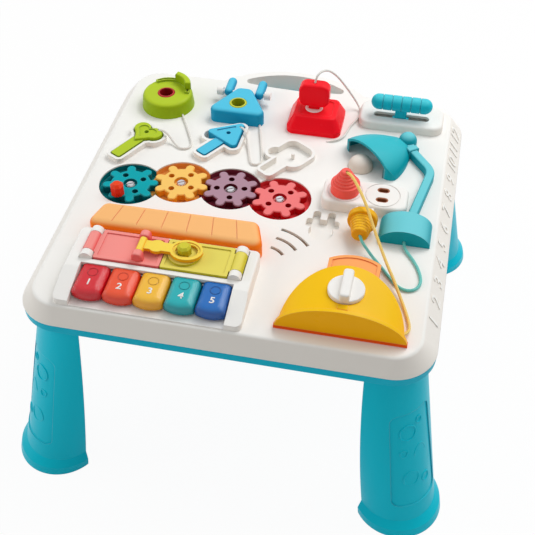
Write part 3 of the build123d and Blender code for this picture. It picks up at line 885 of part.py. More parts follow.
rack_low, rack_high = BREAD_LOW + RACK_INSET, BREAD_TOP - RACK_INSET
dial += prism(Pos(TOAST_X, DIAL_Y) * pinion, rack_low, rack_high)
nodes["toaster_knob"] = dial
loaf_root = BREAD_END - BREAD_CROWN
loaf = Pos(0, (loaf_root + BREAD_IN) / 2) * Rectangle(BREAD_W, loaf_root - BREAD_IN)
loaf = Pos(BREAD_X, 0) * (loaf + bowed(BREAD_W / 2, loaf_root, BREAD_END))
bread = prism(loaf, BREAD_LOW, BREAD_TOP)
bread -= prism(offset(loaf, -BREAD_RIM), BREAD_TOP - BREAD_SUNK, BREAD_TOP + WALL)
line_x, pitch = TOAST_X + pitch_r, math.pi * PINION_MODULE
gap_r = pitch_r + tip + DIAL_PLAY
bread -= prism(Pos(TOAST_X, BREAD_IN) * Rectangle(2 * gap_r, 2 * BREAD_R), BREAD_LOW - WALL, BREAD_TOP + WALL)
rack_x = line_x + root + RACK_BACK / 2
rack_len = BREAD_IN - RACK_END + 2 * BREAD_R
rack = Pos(rack_x, RACK_END + rack_len / 2) * Rectangle(RACK_BACK, rack_len)
comb_root, comb_tip = line_x + root + TOOTH_TIP, line_x - tip
for k in range(-1, 4):
    y = DIAL_Y + (k + 0.5) * pitch
    comb = [(comb_root, y - TOOTH_ROOT), (line_x, y - TOOTH_PITCH), (comb_tip, y - TOOTH_TIP),
            (comb_tip, y + TOOTH_TIP), (line_x, y + TOOTH_PITCH), (comb_root, y + TOOTH_ROOT)]
    rack += make_face(Polyline(comb, close=True))
nodes["bread_slice"] = bread + prism(rack, rack_low, rack_high)

# Speaker, circuit board and batteries
speaker_low = -WALL - SPEAKER_RIM
speaker = disc(SPEAKER_X, SPEAKER_Y, SPEAKER_R, speaker_low, -WALL)
nodes["speaker"] = speaker + disc(SPEAKER_X, SPEAKER_Y, MAGNET_R, speaker_low - MAGNET_H, speaker_low)
board_low = shell_top + STAND_H
board = block(BOARD_X, BOARD_Y, BOARD_W, BOARD_D, BAY_R, board_low, board_low + BOARD_T)
for sx in (-1, 1):
    for sy in (-1, 1):
        x, y = BOARD_X + sx * (BOARD_W / 2 - STAND_IN), BOARD_Y + sy * (BOARD_D / 2 - STAND_IN)
        board += disc(x, y, STAND_R, shell_top, board_low)
nodes["circuit_board"] = board
cell_z = floor + HATCH_T + CELL_LIFT + CELL_R
cells = []
for k in (-1, 0, 1):
    y = BAY_Y + k * CELL_STEP
    cells.append(rod((BAY_X - CELL_LEN / 2, y, cell_z), (BAY_X + CELL_LEN / 2, y, cell_z), CELL_R))
nodes["batteries"] = joined(cells)
hatch = block(BAY_X, BAY_Y, hatch_w - 2 * HATCH_PLAY, hatch_d - 2 * HATCH_PLAY, HATCH_R, floor, floor + HATCH_T)
nodes["battery_door"] = hatch

# Case screws and power switch
screws = []
for x, y in screw_spots:
    screw = disc(x, y, SCREW_HEAD_R, floor, floor + SCREW_HEAD_T)
    screws.append(screw + disc(x, y, SCREW_R, floor + SCREW_HEAD_T, shell_top + SCREW_BITE))
nodes["case_screws"] = joined(screws)
flag_z = shell_top + SWITCH_PLAY
switch = block(SWITCH_X, SWITCH_Y, SWITCH_L, SWITCH_W, SWITCH_PLAY, floor - SWITCH_PROUD, flag_z)
flag_l, flag_w = switch_slot_l + 2 * SWITCH_LIP + 2 * SWITCH_TRAVEL, switch_slot_w + 2 * SWITCH_LIP
switch += block(SWITCH_X, SWITCH_Y, flag_l, flag_w, SWITCH_PLAY, flag_z, flag_z + SWITCH_T)
nodes["power_switch"] = switch

os.makedirs("parts", exist_ok=True)
for name, shape in nodes.items():
    export_step(shape, f"parts/{name}.step")
print(len(nodes), "nodes, crank at", round(crank_x, 2), round(crank_y, 2))
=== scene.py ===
import math

import bpy
from mathutils import Matrix, Vector


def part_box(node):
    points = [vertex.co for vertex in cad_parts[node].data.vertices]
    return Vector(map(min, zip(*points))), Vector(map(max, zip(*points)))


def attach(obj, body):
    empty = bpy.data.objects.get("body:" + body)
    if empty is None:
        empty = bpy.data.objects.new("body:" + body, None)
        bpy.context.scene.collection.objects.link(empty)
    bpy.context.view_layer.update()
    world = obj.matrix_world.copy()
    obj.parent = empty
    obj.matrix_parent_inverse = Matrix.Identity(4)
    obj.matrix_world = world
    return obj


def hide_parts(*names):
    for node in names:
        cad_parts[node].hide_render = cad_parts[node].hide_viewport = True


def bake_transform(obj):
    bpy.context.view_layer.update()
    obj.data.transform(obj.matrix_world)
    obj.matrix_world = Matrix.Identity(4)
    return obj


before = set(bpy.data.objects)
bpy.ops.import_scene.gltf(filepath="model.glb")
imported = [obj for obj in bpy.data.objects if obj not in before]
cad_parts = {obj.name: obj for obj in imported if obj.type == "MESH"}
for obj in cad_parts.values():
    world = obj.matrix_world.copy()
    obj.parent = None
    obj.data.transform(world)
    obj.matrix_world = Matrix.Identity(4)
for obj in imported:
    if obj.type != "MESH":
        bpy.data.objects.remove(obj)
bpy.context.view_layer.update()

MM = 0.001
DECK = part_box("green_lock_body")[0][2]

# Camera, in metres and degrees
CAMERA_AT = (0.16439, -0.76424, 0.90246)
CAMERA_TILT, CAMERA_YAW = 44.97, 11.653
CAMERA_LENS, CAMERA_SENSOR = 66.1, 36.0

# Studio, with each lamp's place, width and height in metres and its watts
FLOOR_SIZE, FLOOR_WHITE, FLOOR_GLOW, FLOOR_ROUGH = 8.0, 0.95, 0.95, 0.9
SKY_STRENGTH = 0.42
LAMPS = {
    "key": ((0.85, 0.62, 1.6), 1.3, 1.3, 14.0),
    "fill": ((-1.6, -0.25, 0.8), 1.2, 1.2, 9.0),
    "glint": ((0.30, 0.80, 1.45), 0.60, 0.30, 4.5),
}

# Plastics: side colour, top colour, roughness, all colours as seen on screen; the gap between side and
# top colour is painted light and shade, tops lighter and sides darker
WHITE, OFF_WHITE = (248, 247, 243), (240, 235, 228)
PLASTICS = {
    # The deck's side colour is darker and warmer as painted shade on its bevels and walls.
    "deck white": ((240, 235, 227), WHITE, 0.42),
    "house white": (OFF_WHITE, WHITE, 0.36),
    "trim white": ((238, 236, 231), (246, 244, 240), 0.30),
    "shell teal": ((5, 182, 208), (5, 186, 210), 0.38),
    "leg teal": ((0, 192, 214), (8, 200, 220), 0.32),
    "roof orange": ((255, 128, 26), (255, 192, 124), 0.46),
    "door pink": ((238, 104, 102), (252, 154, 147), 0.42),
    "door lime": ((206, 194, 44), (236, 222, 104), 0.42),
    "hasp yellow": ((250, 178, 22), (255, 224, 88), 0.32),
    "knob lime": ((196, 190, 32), (216, 208, 62), 0.30),
    "key red": ((214, 10, 30), (218, 20, 38), 0.12),
    "key orange": ((236, 60, 22), (242, 80, 36), 0.12),
    "key yellow": ((240, 166, 18), (248, 190, 48), 0.12),
    "key teal": ((0, 152, 160), (0, 176, 182), 0.12),
    "key blue": ((0, 84, 166), (0, 106, 190), 0.12),
    # The gears' pale top colours are painted sheen.
    "gear teal": ((0, 112, 122), (0, 166, 176), 0.34),
    "gear yellow": ((242, 166, 42), (253, 205, 110), 0.36),
    "gear plum": ((96, 22, 38), (178, 142, 158), 0.36),
    "gear red": ((196, 20, 30), (244, 128, 128), 0.36),
    "crank red": ((226, 46, 16), (242, 76, 36), 0.30),
    "lock green": ((150, 178, 18), (182, 206, 48), 0.36),
    "lock blue": ((20, 150, 192), (84, 198, 230), 0.36),
    "lock red": ((255, 14, 34), (252, 34, 46), 0.24),
    "barrel red": ((150, 24, 30), (196, 52, 48), 0.30),
    "barrel lime": ((160, 168, 24), (206, 212, 66), 0.30),
    "outlet white": (OFF_WHITE, WHITE, 0.34),
    "socket brown": ((160, 98, 66), (178, 112, 78), 0.50),
    "speaker tan": ((140, 112, 92), (156, 126, 104), 0.60),
    "plug coral": ((255, 96, 84), (255, 110, 100), 0.26),
    "plug yellow": ((238, 168, 16), (248, 190, 36), 0.28),
    "lamp teal": ((16, 158, 172), (112, 208, 218), 0.40),
    "shade teal": ((10, 158, 172), (58, 190, 202), 0.38),
    "bulb white": ((222, 212, 198), (240, 234, 224), 0.34),
    "grip teal": ((24, 186, 206), (72, 206, 220), 0.34),
    "toaster yellow": ((255, 183, 0), (250, 198, 22), 0.30),
    "toaster orange": ((246, 88, 10), (248, 108, 20), 0.34),
    "bread orange": ((244, 122, 38), (254, 172, 102), 0.44),
    "board green": ((24, 92, 52), (30, 104, 60), 0.50),
    "dark plastic": ((40, 40, 43), (50, 50, 54), 0.46),
    "cell jacket": ((70, 70, 76), (90, 90, 96), 0.40),
    "pad rubber": ((86, 86, 88), (96, 96, 98), 0.70),
}
NODE_PLASTIC = {
    "top_deck": "deck field", "bottom_shell": "shell teal", "battery_door": "shell teal",
    "leg_front_left": "leg teal", "leg_front_right": "leg teal",
    "leg_back_left": "leg teal", "leg_back_right": "leg teal",
    "piano_bezel": "house white", "roof_cover": "roof orange", "key_pads": "pad rubber",
    "piano_key_1": "key red", "piano_key_2": "key orange", "piano_key_3": "key yellow",
    "piano_key_4": "key teal", "piano_key_5": "key blue",
    "left_door": "door pink", "right_door": "door lime",
    "door_hasp": "hasp yellow", "latch_knob": "knob lime",
    "gear_teal": "gear teal", "gear_yellow": "gear yellow",
    "gear_plum": "gear plum", "gear_red": "gear red",
    "crank_knob": "crank red", "green_lock_body": "lock green", "green_keyhole": "barrel red",
    "green_shackle": "lock green", "green_key": "lock green", "blue_lock_body": "lock blue",
    "blue_keyhole": "barrel lime", "blue_shackle": "lock blue", "blue_axle": "trim white",
    "blue_key": "lock blue",
    "red_lock_body": "lock red", "red_keyhole": "trim white", "red_key": "lock red",
    "outlet_block": "outlet white", "socket_inserts": "socket brown", "coral_plug": "plug coral",
    "yellow_plug": "plug yellow", "yellow_prongs": "trim white", "lamp_stand": "lamp teal",
    "lamp_shade": "shade teal", "lamp_bulb": "bulb white", "slide_handle": "grip teal",
    "toaster_body": "toaster yellow", "toaster_base": "toaster orange", "toaster_knob": "trim white",
    "bread_slice": "bread orange", "speaker": "speaker tan", "circuit_board": "board green",
    "batteries": "cell jacket", "power_switch": "dark plastic",
}
STEEL_NODES = ("hinge_pins", "case_screws")

# Surface character of moulded plastic, with a painted highlight on sharp edges and painted light on
# upward faces, lengths in metres
EDGE_RADIUS, EDGE_PAINTED_HIGHLIGHT, EDGE_SAMPLES = 0.0007, 0.16, 4
EDGE_TURN_FROM, EDGE_TURN_FULL = 0.01, 0.25
KEY_EDGE_RADIUS, KEY_EDGE_PAINTED_HIGHLIGHT = 0.006, 0.0
UPWARD_FROM, UPWARD_FULL = 0.45, 0.95
GLOSSY_BELOW, GLOSSY_SHINE, SATIN_SHINE = 0.2, 0.5, 0.09
DRIFT_SCALE, DRIFT_DETAIL, DRIFT_AMOUNT = 16.0, 3.0, 0.06
DRIFT_SHADE = (0.72, 0.72, 0.74, 1.0)
GRAIN_SCALE, GRAIN_DETAIL, GRAIN_DEPTH, GRAIN_STRENGTH = 1400.0, 2.0, 0.00006, 0.35
PEEL_SCALE, PEEL_DETAIL, PEEL_HEIGHT, ROUGH_SPREAD = 190.0, 2.0, 0.5, 0.10
PURE_WHITE = (1.0, 1.0, 1.0, 1.0)

# Pin steel and woven cord
STEEL_COLOUR, STEEL_ROUGH, STEEL_SPREAD, STEEL_DETAIL = (196, 197, 202), 0.22, 0.2, 4.0
TWIST_SCALE, TWIST_BEND, TWIST_DETAIL, TWIST_SHADE = 320.0, 3.0, 2.0, 0.78
FUZZ_DETAIL, CORD_ROUGH, CORD_SPREAD = 3.0, 0.45, 0.25
TWIST_STRENGTH, TWIST_DEPTH = 0.5, 0.00025

# Sockets of a colour mix
MIX_FACTOR, MIX_FIRST, MIX_SECOND, MIX_RESULT = 0, 6, 7, 2

# Fineness of curves and lettering
CURVE_STEPS, CURVE_ORDER, WIRE_ROUNDS, LETTER_ROUNDS = 8, 3, 4, 2

# Numerals on the right bevel of the deck, in millimetres
BEVEL_TOP_X, BEVEL_LOW_X, BEVEL_DROP = 185.0, 200.0, 20.0
NUMERAL_COUNT, NUMERAL_FIRST_Y, NUMERAL_STEP = 12, -137.5, 26.14
NUMERAL_SIZE, NUMERAL_THICK, NUMERAL_EDGE = 21.5, 1.6, 0.2

# Numerals and rings on the piano keys, in millimetres
KEY_COUNT, KEY_MIDDLE_X, KEY_PITCH, KEY_TOP = 5, -68.0, 29.6, 15.0
KEY_NUMERAL_Y, KEY_NUMERAL_SIZE, KEY_NUMERAL_THICK = -175.0, 10.5, 0.5
KEY_RING_Y, KEY_RING_R, KEY_RING_WIRE, KEY_RING_KNOTS = -162.0, 5.2, 0.45, 8

# Gear posts, and the coloured wells round them, in millimetres
GEAR_SPOTS = [(-137.9, -14.7), (-86.0, -1.5), (-32.4, -1.5), (21.0, -6.5)]
WELL_COLOURS = [(0, 130, 136), (242, 170, 84), (144, 52, 70), (238, 66, 72)]
WELL_R, WELL_RIM = 33.4, -1.6

# Slotted screws on the gear posts, in millimetres
SCREW_R, SCREW_CROWN_R, SCREW_LOW, SCREW_TOP = 4.4, 3.7, -1.1, 0.0
SCREW_SLOT, SCREW_STEPS, SCREW_TURN = 1.2, 14, 30.0

# Leg panels, in millimetres, with each leg's side of the table
LEG_FOOT, LEG_INSET, LEG_HEIGHT = (185.0, 190.5), 39.0, 194.0
LEG_FOOT_R, LEG_TOP_R, LEG_FLARE_TOP = 40.0, 45.0, 17.0
LEG_LEAN = LEG_INSET / LEG_HEIGHT
LEG_PANEL_DEEP, LEG_WIRE = 1.2, 0.9
LEG_SIDES = {
    "front_left": (-1, 1), "front_right": (1, 1),
    "back_left": (-1, -1), "back_right": (1, -1),
}

# Shapes on them: corners, radius, place across and height in millimetres, turn in degrees
LEG_SHAPES = [
    (16, 9.0, -6.0, 128.0, 0), (3, 13.0, 7.0, 100.0, 90), (4, 12.0, -6.0, 70.0, 20),
    (16, 5.0, 12.0, 62.0, 0), (16, 3.5, 8.0, 138.0, 0), (3, 7.0, -12.0, 104.0, -90),
]

# Cords: route above the deck, diameter and ends of the bend in millimetres, length in metres
CORDS = {
    "green_key_cord": {
        "route": [(-116.0, 113.5, 1.6), (-106.8, 95.5, 1.6), (-96.8, 75.0, 1.6), (-90.0, 60.0, 1.6),
                  (-93.7, 52.6, 1.6), (-101.8, 51.2, 1.6), (-109.5, 57.5, 2.4), (-115.5, 62.3, 6.6),
                  (-121.0, 65.5, 10.4), (-127.0, 68.3, 10.4), (-132.0, 69.5, 7.2)],
        "across": 2.4, "length": 0.113, "colour": "cord white", "stiffness": "limp",
        "bodies": ("table", "green_key"), "hold": (-94.0, 50.0), "free": (-100.5, 43.5)},
    "blue_key_cord": {
        "route": [(-25.5, 112.0, 1.6), (-21.0, 94.5, 1.6), (-16.2, 77.0, 1.6), (-13.0, 64.5, 1.6),
                  (-10.6, 54.0, 1.6), (-9.6, 46.5, 1.6), (-11.8, 41.8, 1.6), (-16.2, 40.2, 1.6),
                  (-20.4, 42.0, 1.6), (-23.2, 49.0, 1.6), (-26.5, 60.0, 1.6), (-30.5, 72.0, 1.8),
                  (-33.0, 79.0, 6.0), (-36.0, 85.5, 10.4), (-40.5, 90.5, 10.4), (-44.0, 93.5, 7.2)],
        "across": 2.4, "length": 0.142, "colour": "cord white", "stiffness": "limp",
        "bodies": ("table", "blue_key"), "hold": (-27.5, 75.0), "free": (-40.0, 75.0)},
    "red_key_cord": {
        "route": [(33.0, 132.0, 46.0), (33.0, 132.0, 56.5), (37.0, 138.5, 62.0), (44.5, 149.0, 59.0),
                  (53.0, 158.0, 47.0), (61.5, 164.0, 32.0), (70.0, 167.5, 17.5), (78.5, 166.0, 6.0),
                  (83.5, 157.5, 1.8), (82.0, 145.0, 1.8), (76.0, 131.5, 1.8), (73.0, 118.0, 1.8),
                  (70.5, 106.5, 1.8), (63.5, 99.5, 1.8), (55.0, 97.0, 0.8), (49.5, 97.5, -5.0)],
        "across": 2.4, "length": 0.187, "colour": "cord white", "stiffness": "limp",
        "bodies": ("table",)},
    "yellow_cord": {
        "route": [(85.5, 8.0, 33.0), (90.0, -0.5, 41.5), (97.5, -13.5, 43.8), (106.0, -28.0, 41.5),
                  (114.5, -42.5, 35.8), (123.0, -57.5, 26.0), (132.0, -73.0, 17.5), (141.0, -90.0, 11.0),
                  (149.5, -106.5, 8.6), (157.0, -121.5, 4.5), (163.5, -135.5, 2.0), (168.5, -149.0, 2.0),
                  (171.5, -161.0, 2.6), (169.5, -170.5, 5.0), (163.5, -176.0, 7.0)],
        "across": 3.0, "length": 0.218, "colour": "cord yellow", "stiffness": "medium",
        "bodies": ("coral_plug", "table"), "hold": (87.0, 5.0), "free": (87.0, -100.0)},
    "teal_cord": {
        "route": [(154.0, -45.0, 4.4), (154.5, -56.0, 3.4), (159.5, -63.5, 2.2), (166.5, -73.0, 1.8),
                  (172.5, -85.0, 1.8), (176.0, -98.0, 1.8), (174.3, -107.5, 1.8), (169.0, -112.8, 1.8),
                  (161.6, -113.8, 1.8), (153.6, -109.6, 1.8), (145.6, -99.4, 1.8), (138.0, -89.5, 1.8),
                  (131.0, -81.0, 2.0), (124.5, -74.5, 4.0), (118.5, -70.0, 8.5), (113.5, -66.5, 13.0),
                  (111.0, -60.0, 15.2)],
        "across": 3.0, "length": 0.160, "colour": "cord teal", "stiffness": "medium",
        "bodies": ("table", "yellow_plug"), "hold": (148.0, -80.0), "free": (114.0, -80.0)},
}
CORD_COLOURS = {
    "cord white": (240, 237, 230),
    "cord yellow": (252, 214, 112),
    "cord teal": (112, 208, 200),
}


def screen(colour):
    """Linear colour with alpha from a colour as seen on screen, 0 to 255."""
    def linear(part):
        share = part / 255.0
        return share / 12.92 if share <= 0.04045 else ((share + 0.055) / 1.055) ** 2.4
    return tuple(linear(part) for part in colour) + (1.0,)


def above(x, y, z):
    """Point in metres from millimetres, with its height above the deck."""
    return Vector((x * MM, y * MM, DECK + z * MM))


def add(tree, kind, settings=None, inputs=None):
    """Shader node with its settings and its unlinked inputs."""
    node = tree.nodes.new(kind)
    for key, value in (settings or {}).items():
        setattr(node, key, value)
    for key, value in (inputs or {}).items():
        node.inputs[key].default_value = value
    return node


def tint(tree, factor, first, second, blend="MIX"):
    """Colour mix of two sockets or plain colours."""
    node = add(tree, "ShaderNodeMix", {"data_type": "RGBA", "blend_type": blend})
    for slot, value in ((MIX_FACTOR, factor), (MIX_FIRST, first), (MIX_SECOND, second)):
        if isinstance(value, bpy.types.NodeSocket):
            tree.links.new(value, node.inputs[slot])
        else:
            node.inputs[slot].default_value = value
    return node.outputs[MIX_RESULT]


def math_node(tree, operation, first, second):
    """Math node on two sockets or numbers."""
    node = add(tree, "ShaderNodeMath", {"operation": operation})
    for slot, value in enumerate((first, second)):
        if isinstance(value, bpy.types.NodeSocket):
            tree.links.new(value, node.inputs[slot])
        else:
            node.inputs[slot].default_value = value
    return node.outputs[0]


def group(name, inputs, outputs):
    """Empty shader node group with its named sockets."""
    tree = bpy.data.node_groups.new(name, "ShaderNodeTree")
    for label, kind in inputs:
        tree.interface.new_socket(label, in_out="INPUT", socket_type="NodeSocket" + kind)
    for label, kind in outputs:
        tree.interface.new_socket(label, in_out="OUTPUT", socket_type="NodeSocket" + kind)
    return tree, tree.nodes.new("NodeGroupInput"), tree.nodes.new("NodeGroupOutput")


def soft_edge_group():
    """Rounded normals at sharp edges, and a mask of those edges."""
    made = [("Normal", "Vector"), ("Edge", "Float")]
    tree, into, out = group("soft edge", [("Radius", "Float")], made)
    bevel = add(tree, "ShaderNodeBevel", {"samples": EDGE_SAMPLES})
    surface = add(tree, "ShaderNodeNewGeometry")
    facing = add(tree, "ShaderNodeVectorMath", {"operation": "DOT_PRODUCT"})
    tree.links.new(into.outputs["Radius"], bevel.inputs["Radius"])
    tree.links.new(bevel.outputs["Normal"], facing.inputs[0])
    tree.links.new(surface.outputs["Normal"], facing.inputs[1])
    turned = math_node(tree, "SUBTRACT", 1.0, facing.outputs["Value"])
    bounds = {"From Min": EDGE_TURN_FROM, "From Max": EDGE_TURN_FULL}
    spread = add(tree, "ShaderNodeMapRange", inputs=bounds)
    tree.links.new(turned, spread.inputs["Value"])
    tree.links.new(bevel.outputs["Normal"], out.inputs["Normal"])
    tree.links.new(spread.outputs["Result"], out.inputs["Edge"])
    return tree


def painted_top_light_group():
    """Painted light and shade: blend from a darker side colour to a lighter top colour by how far the
    surface faces up.
    """
    tree, into, out = group("painted top light", [("Side", "Color"), ("Top", "Color")], [("Colour", "Color")])
    where = add(tree, "ShaderNodeTexCoord")
    split = add(tree, "ShaderNodeSeparateXYZ")
    upward = add(tree, "ShaderNodeMapRange", {"interpolation_type": "SMOOTHSTEP"},
                 {"From Min": UPWARD_FROM, "From Max": UPWARD_FULL})
    tree.links.new(where.outputs["Normal"], split.inputs["Vector"])
    tree.links.new(split.outputs["Z"], upward.inputs["Value"])
    colour = tint(tree, upward.outputs["Result"], into.outputs["Side"], into.outputs["Top"])
    tree.links.new(colour, out.inputs["Colour"])
    return tree


def moulded_group():
    """Slow colour drift, uneven gloss and fine grain of moulded plastic."""
    taken = [("Colour", "Color"), ("Drift", "Float"), ("Rough", "Float")]
    made = [("Colour", "Color"), ("Roughness", "Float"), ("Height", "Float")]
    tree, into, out = group("moulded skin", taken, made)
    where = add(tree, "ShaderNodeTexCoord")
    slow = add(tree, "ShaderNodeTexNoise", inputs={"Scale": DRIFT_SCALE, "Detail": DRIFT_DETAIL})
    peel = add(tree, "ShaderNodeTexNoise", inputs={"Scale": PEEL_SCALE, "Detail": PEEL_DETAIL})
    grain = add(tree, "ShaderNodeTexNoise", inputs={"Scale": GRAIN_SCALE, "Detail": GRAIN_DETAIL})
    for noise in (slow, peel, grain):
        tree.links.new(where.outputs["Object"], noise.inputs["Vector"])
    darker = tint(tree, 1.0, into.outputs["Colour"], DRIFT_SHADE, "MULTIPLY")
    shift = math_node(tree, "MULTIPLY", slow.outputs["Fac"], into.outputs["Drift"])
    tree.links.new(tint(tree, shift, into.outputs["Colour"], darker), out.inputs["Colour"])
    patchy = math_node(tree, "ADD", slow.outputs["Fac"], peel.outputs["Fac"])
    spread = math_node(tree, "MULTIPLY", math_node(tree, "SUBTRACT", patchy, 1.0), ROUGH_SPREAD)
    tree.links.new(math_node(tree, "ADD", into.outputs["Rough"], spread), out.inputs["Roughness"])
    mixed = math_node(tree, "MULTIPLY_ADD", peel.outputs["Fac"], PEEL_HEIGHT)
    tree.links.new(grain.outputs["Fac"], mixed.node.inputs[2])
    tree.links.new(mixed, out.inputs["Height"])
    return tree


def well_group():
    """Mask of a round well, from its centre and radius, below the height of its rim."""
    taken = [("Centre", "Vector"), ("Radius", "Float"), ("Rim", "Float")]
    tree, into, out = group("gear well", taken, [("Mask", "Float")])
    where = add(tree, "ShaderNodeTexCoord")
    offset = add(tree, "ShaderNodeVectorMath", {"operation": "SUBTRACT"})
    level = add(tree, "ShaderNodeVectorMath", {"operation": "MULTIPLY"})
    level.inputs[1].default_value = (1.0, 1.0, 0.0)
    reach = add(tree, "ShaderNodeVectorMath", {"operation": "LENGTH"})
    split = add(tree, "ShaderNodeSeparateXYZ")
    tree.links.new(where.outputs["Object"], offset.inputs[0])
    tree.links.new(into.outputs["Centre"], offset.inputs[1])
    tree.links.new(offset.outputs["Vector"], level.inputs[0])
    tree.links.new(level.outputs["Vector"], reach.inputs[0])
    tree.links.new(where.outputs["Object"], split.inputs["Vector"])
    inside = math_node(tree, "LESS_THAN", reach.outputs["Value"], into.outputs["Radius"])
    below = math_node(tree, "LESS_THAN", split.outputs["Z"], into.outputs["Rim"])
    tree.links.new(math_node(tree, "MULTIPLY", inside, below), out.inputs["Mask"])
    return tree


SOFT_EDGE, PAINTED_TOP_LIGHT = soft_edge_group(), painted_top_light_group()
MOULDED, WELL = moulded_group(), well_group()


def place_group(tree, made, inputs):
    """Group node in a material with its own values."""
    return add(tree, "ShaderNodeGroup", {"node_tree": made}, inputs)


def new_material(name):
    """Empty material with its shader and output."""
    material = bpy.data.materials.new(name)
    material.use_nodes = True
    return material, material.node_tree, material.node_tree.nodes["Principled BSDF"]


def plastic(name, side, top, rough, edge_radius=EDGE_RADIUS, edge_highlight=EDGE_PAINTED_HIGHLIGHT, wells=False):
    """Moulded plastic with a lighter top colour of painted light over a side colour of painted shade,
    soft edges with a painted highlight, fine grain and, if asked, coloured wells.
    """
    material, tree, shader = new_material(name)
    shine = GLOSSY_SHINE if rough < GLOSSY_BELOW else SATIN_SHINE
    shader.inputs["Specular IOR Level"].default_value = shine
    # Painted light and shade: the top colour on upward faces, the side colour on the rest.
    painted_light = place_group(tree, PAINTED_TOP_LIGHT, {"Side": screen(side), "Top": screen(top)})
    skin = place_group(tree, MOULDED, {"Drift": DRIFT_AMOUNT, "Rough": rough})
    edge = place_group(tree, SOFT_EDGE, {"Radius": edge_radius})
    colour = painted_light.outputs["Colour"]
    for (x, y), stain in zip(GEAR_SPOTS, WELL_COLOURS) if wells else ():
        round_well = place_group(tree, WELL, {"Centre": above(x, y, 0.0), "Radius": WELL_R * MM,
                                              "Rim": DECK + WELL_RIM * MM})
        colour = tint(tree, round_well.outputs["Mask"], colour, screen(stain))
    tree.links.new(colour, skin.inputs["Colour"])
    # Painted highlight: sharp edges are mixed towards white.
    highlight_share = math_node(tree, "MULTIPLY", edge.outputs["Edge"], edge_highlight)
    highlighted = tint(tree, highlight_share, skin.outputs["Colour"], PURE_WHITE)
    tree.links.new(highlighted, shader.inputs["Base Color"])
    tree.links.new(skin.outputs["Roughness"], shader.inputs["Roughness"])
    bump = add(tree, "ShaderNodeBump",
               inputs={"Strength": GRAIN_STRENGTH, "Distance": GRAIN_DEPTH})
    tree.links.new(skin.outputs["Height"], bump.inputs["Height"])
    tree.links.new(edge.outputs["Normal"], bump.inputs["Normal"])
    tree.links.new(bump.outputs["Normal"], shader.inputs["Normal"])
    return material


def brushed_steel():
    """Bright pin steel with fine turning marks."""
    material, tree, shader = new_material("pin steel")
    where = add(tree, "ShaderNodeTexCoord")
    marks = add(tree, "ShaderNodeTexNoise", inputs={"Scale": GRAIN_SCALE, "Detail": STEEL_DETAIL})
    tree.links.new(where.outputs["Object"], marks.inputs["Vector"])
    shader.inputs["Base Color"].default_value = screen(STEEL_COLOUR)
    shader.inputs["Metallic"].default_value = 1.0
    uneven = math_node(tree, "MULTIPLY_ADD", marks.outputs["Fac"], STEEL_SPREAD)
    uneven.node.inputs[2].default_value = STEEL_ROUGH
    tree.links.new(uneven, shader.inputs["Roughness"])
    return material


def cord_skin(name, colour):
    """Soft cord with a fine twisted weave."""
    material, tree, shader = new_material(name)
    where = add(tree, "ShaderNodeTexCoord")
    twist = add(tree, "ShaderNodeTexWave", {"bands_direction": "DIAGONAL"},
                {"Scale": TWIST_SCALE, "Distortion": TWIST_BEND, "Detail": TWIST_DETAIL})
    fuzz = add(tree, "ShaderNodeTexNoise", inputs={"Scale": GRAIN_SCALE, "Detail": FUZZ_DETAIL})
    for texture in (twist, fuzz):
        tree.links.new(where.outputs["Object"], texture.inputs["Vector"])
    pale = screen(colour)
    deep = tuple(part * TWIST_SHADE for part in pale[:3]) + (1.0,)
    tree.links.new(tint(tree, twist.outputs["Fac"], deep, pale), shader.inputs["Base Color"])
    uneven = math_node(tree, "MULTIPLY_ADD", fuzz.outputs["Fac"], CORD_SPREAD)
    uneven.node.inputs[2].default_value = CORD_ROUGH
    tree.links.new(uneven, shader.inputs["Roughness"])
    bump = add(tree, "ShaderNodeBump",
               inputs={"Strength": TWIST_STRENGTH, "Distance": TWIST_DEPTH})
    tree.links.new(twist.outputs["Fac"], bump.inputs["Height"])
    tree.links.new(bump.outputs["Normal"], shader.inputs["Normal"])
    return material


PAINT = {}
for plastic_name, values in PLASTICS.items():
    glossy = values[2] < GLOSSY_BELOW
    edges = (KEY_EDGE_RADIUS, KEY_EDGE_PAINTED_HIGHLIGHT) if glossy else (EDGE_RADIUS, EDGE_PAINTED_HIGHLIGHT)
    PAINT[plastic_name] = plastic(plastic_name, *values, *edges)
PAINT["deck field"] = plastic("deck field", *PLASTICS["deck white"], wells=True)
PAINT["pin steel"] = brushed_steel()
for cord_name, cord_colour in CORD_COLOURS.items():
    PAINT[cord_name] = cord_skin(cord_name, cord_colour)


def dress(thing, material):
    """One material on every slot of an object."""
    if not thing.material_slots:
        thing.data.materials.append(material)
    for slot in thing.material_slots:
        slot.material = material


for node_name, plastic_name in NODE_PLASTIC.items():
    dress(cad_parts[node_name], PAINT[plastic_name])
for node_name in STEEL_NODES:
    dress(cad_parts[node_name], PAINT["pin steel"])


def link(thing):
    """Puts a new object into the scene."""
    bpy.context.scene.collection.objects.link(thing)
    return thing


def solid_copy(thing):
    """Plain mesh of what an object shows, in its own axes."""
    bpy.context.view_layer.update()
    shown = thing.evaluated_get(bpy.context.evaluated_depsgraph_get())
    return bpy.data.meshes.new_from_object(shown)


def mesh_piece(name, source, material):
    """Smooth mesh piece made from a curve or text object, which is then removed."""
    mesh = solid_copy(source)
    place = source.matrix_world.copy()
    bpy.data.objects.remove(source)
    mesh.shade_smooth()
    mesh.materials.clear()
    mesh.materials.append(material)
    piece = link(bpy.data.objects.new(name, mesh))
    piece.matrix_world = place
    return piece


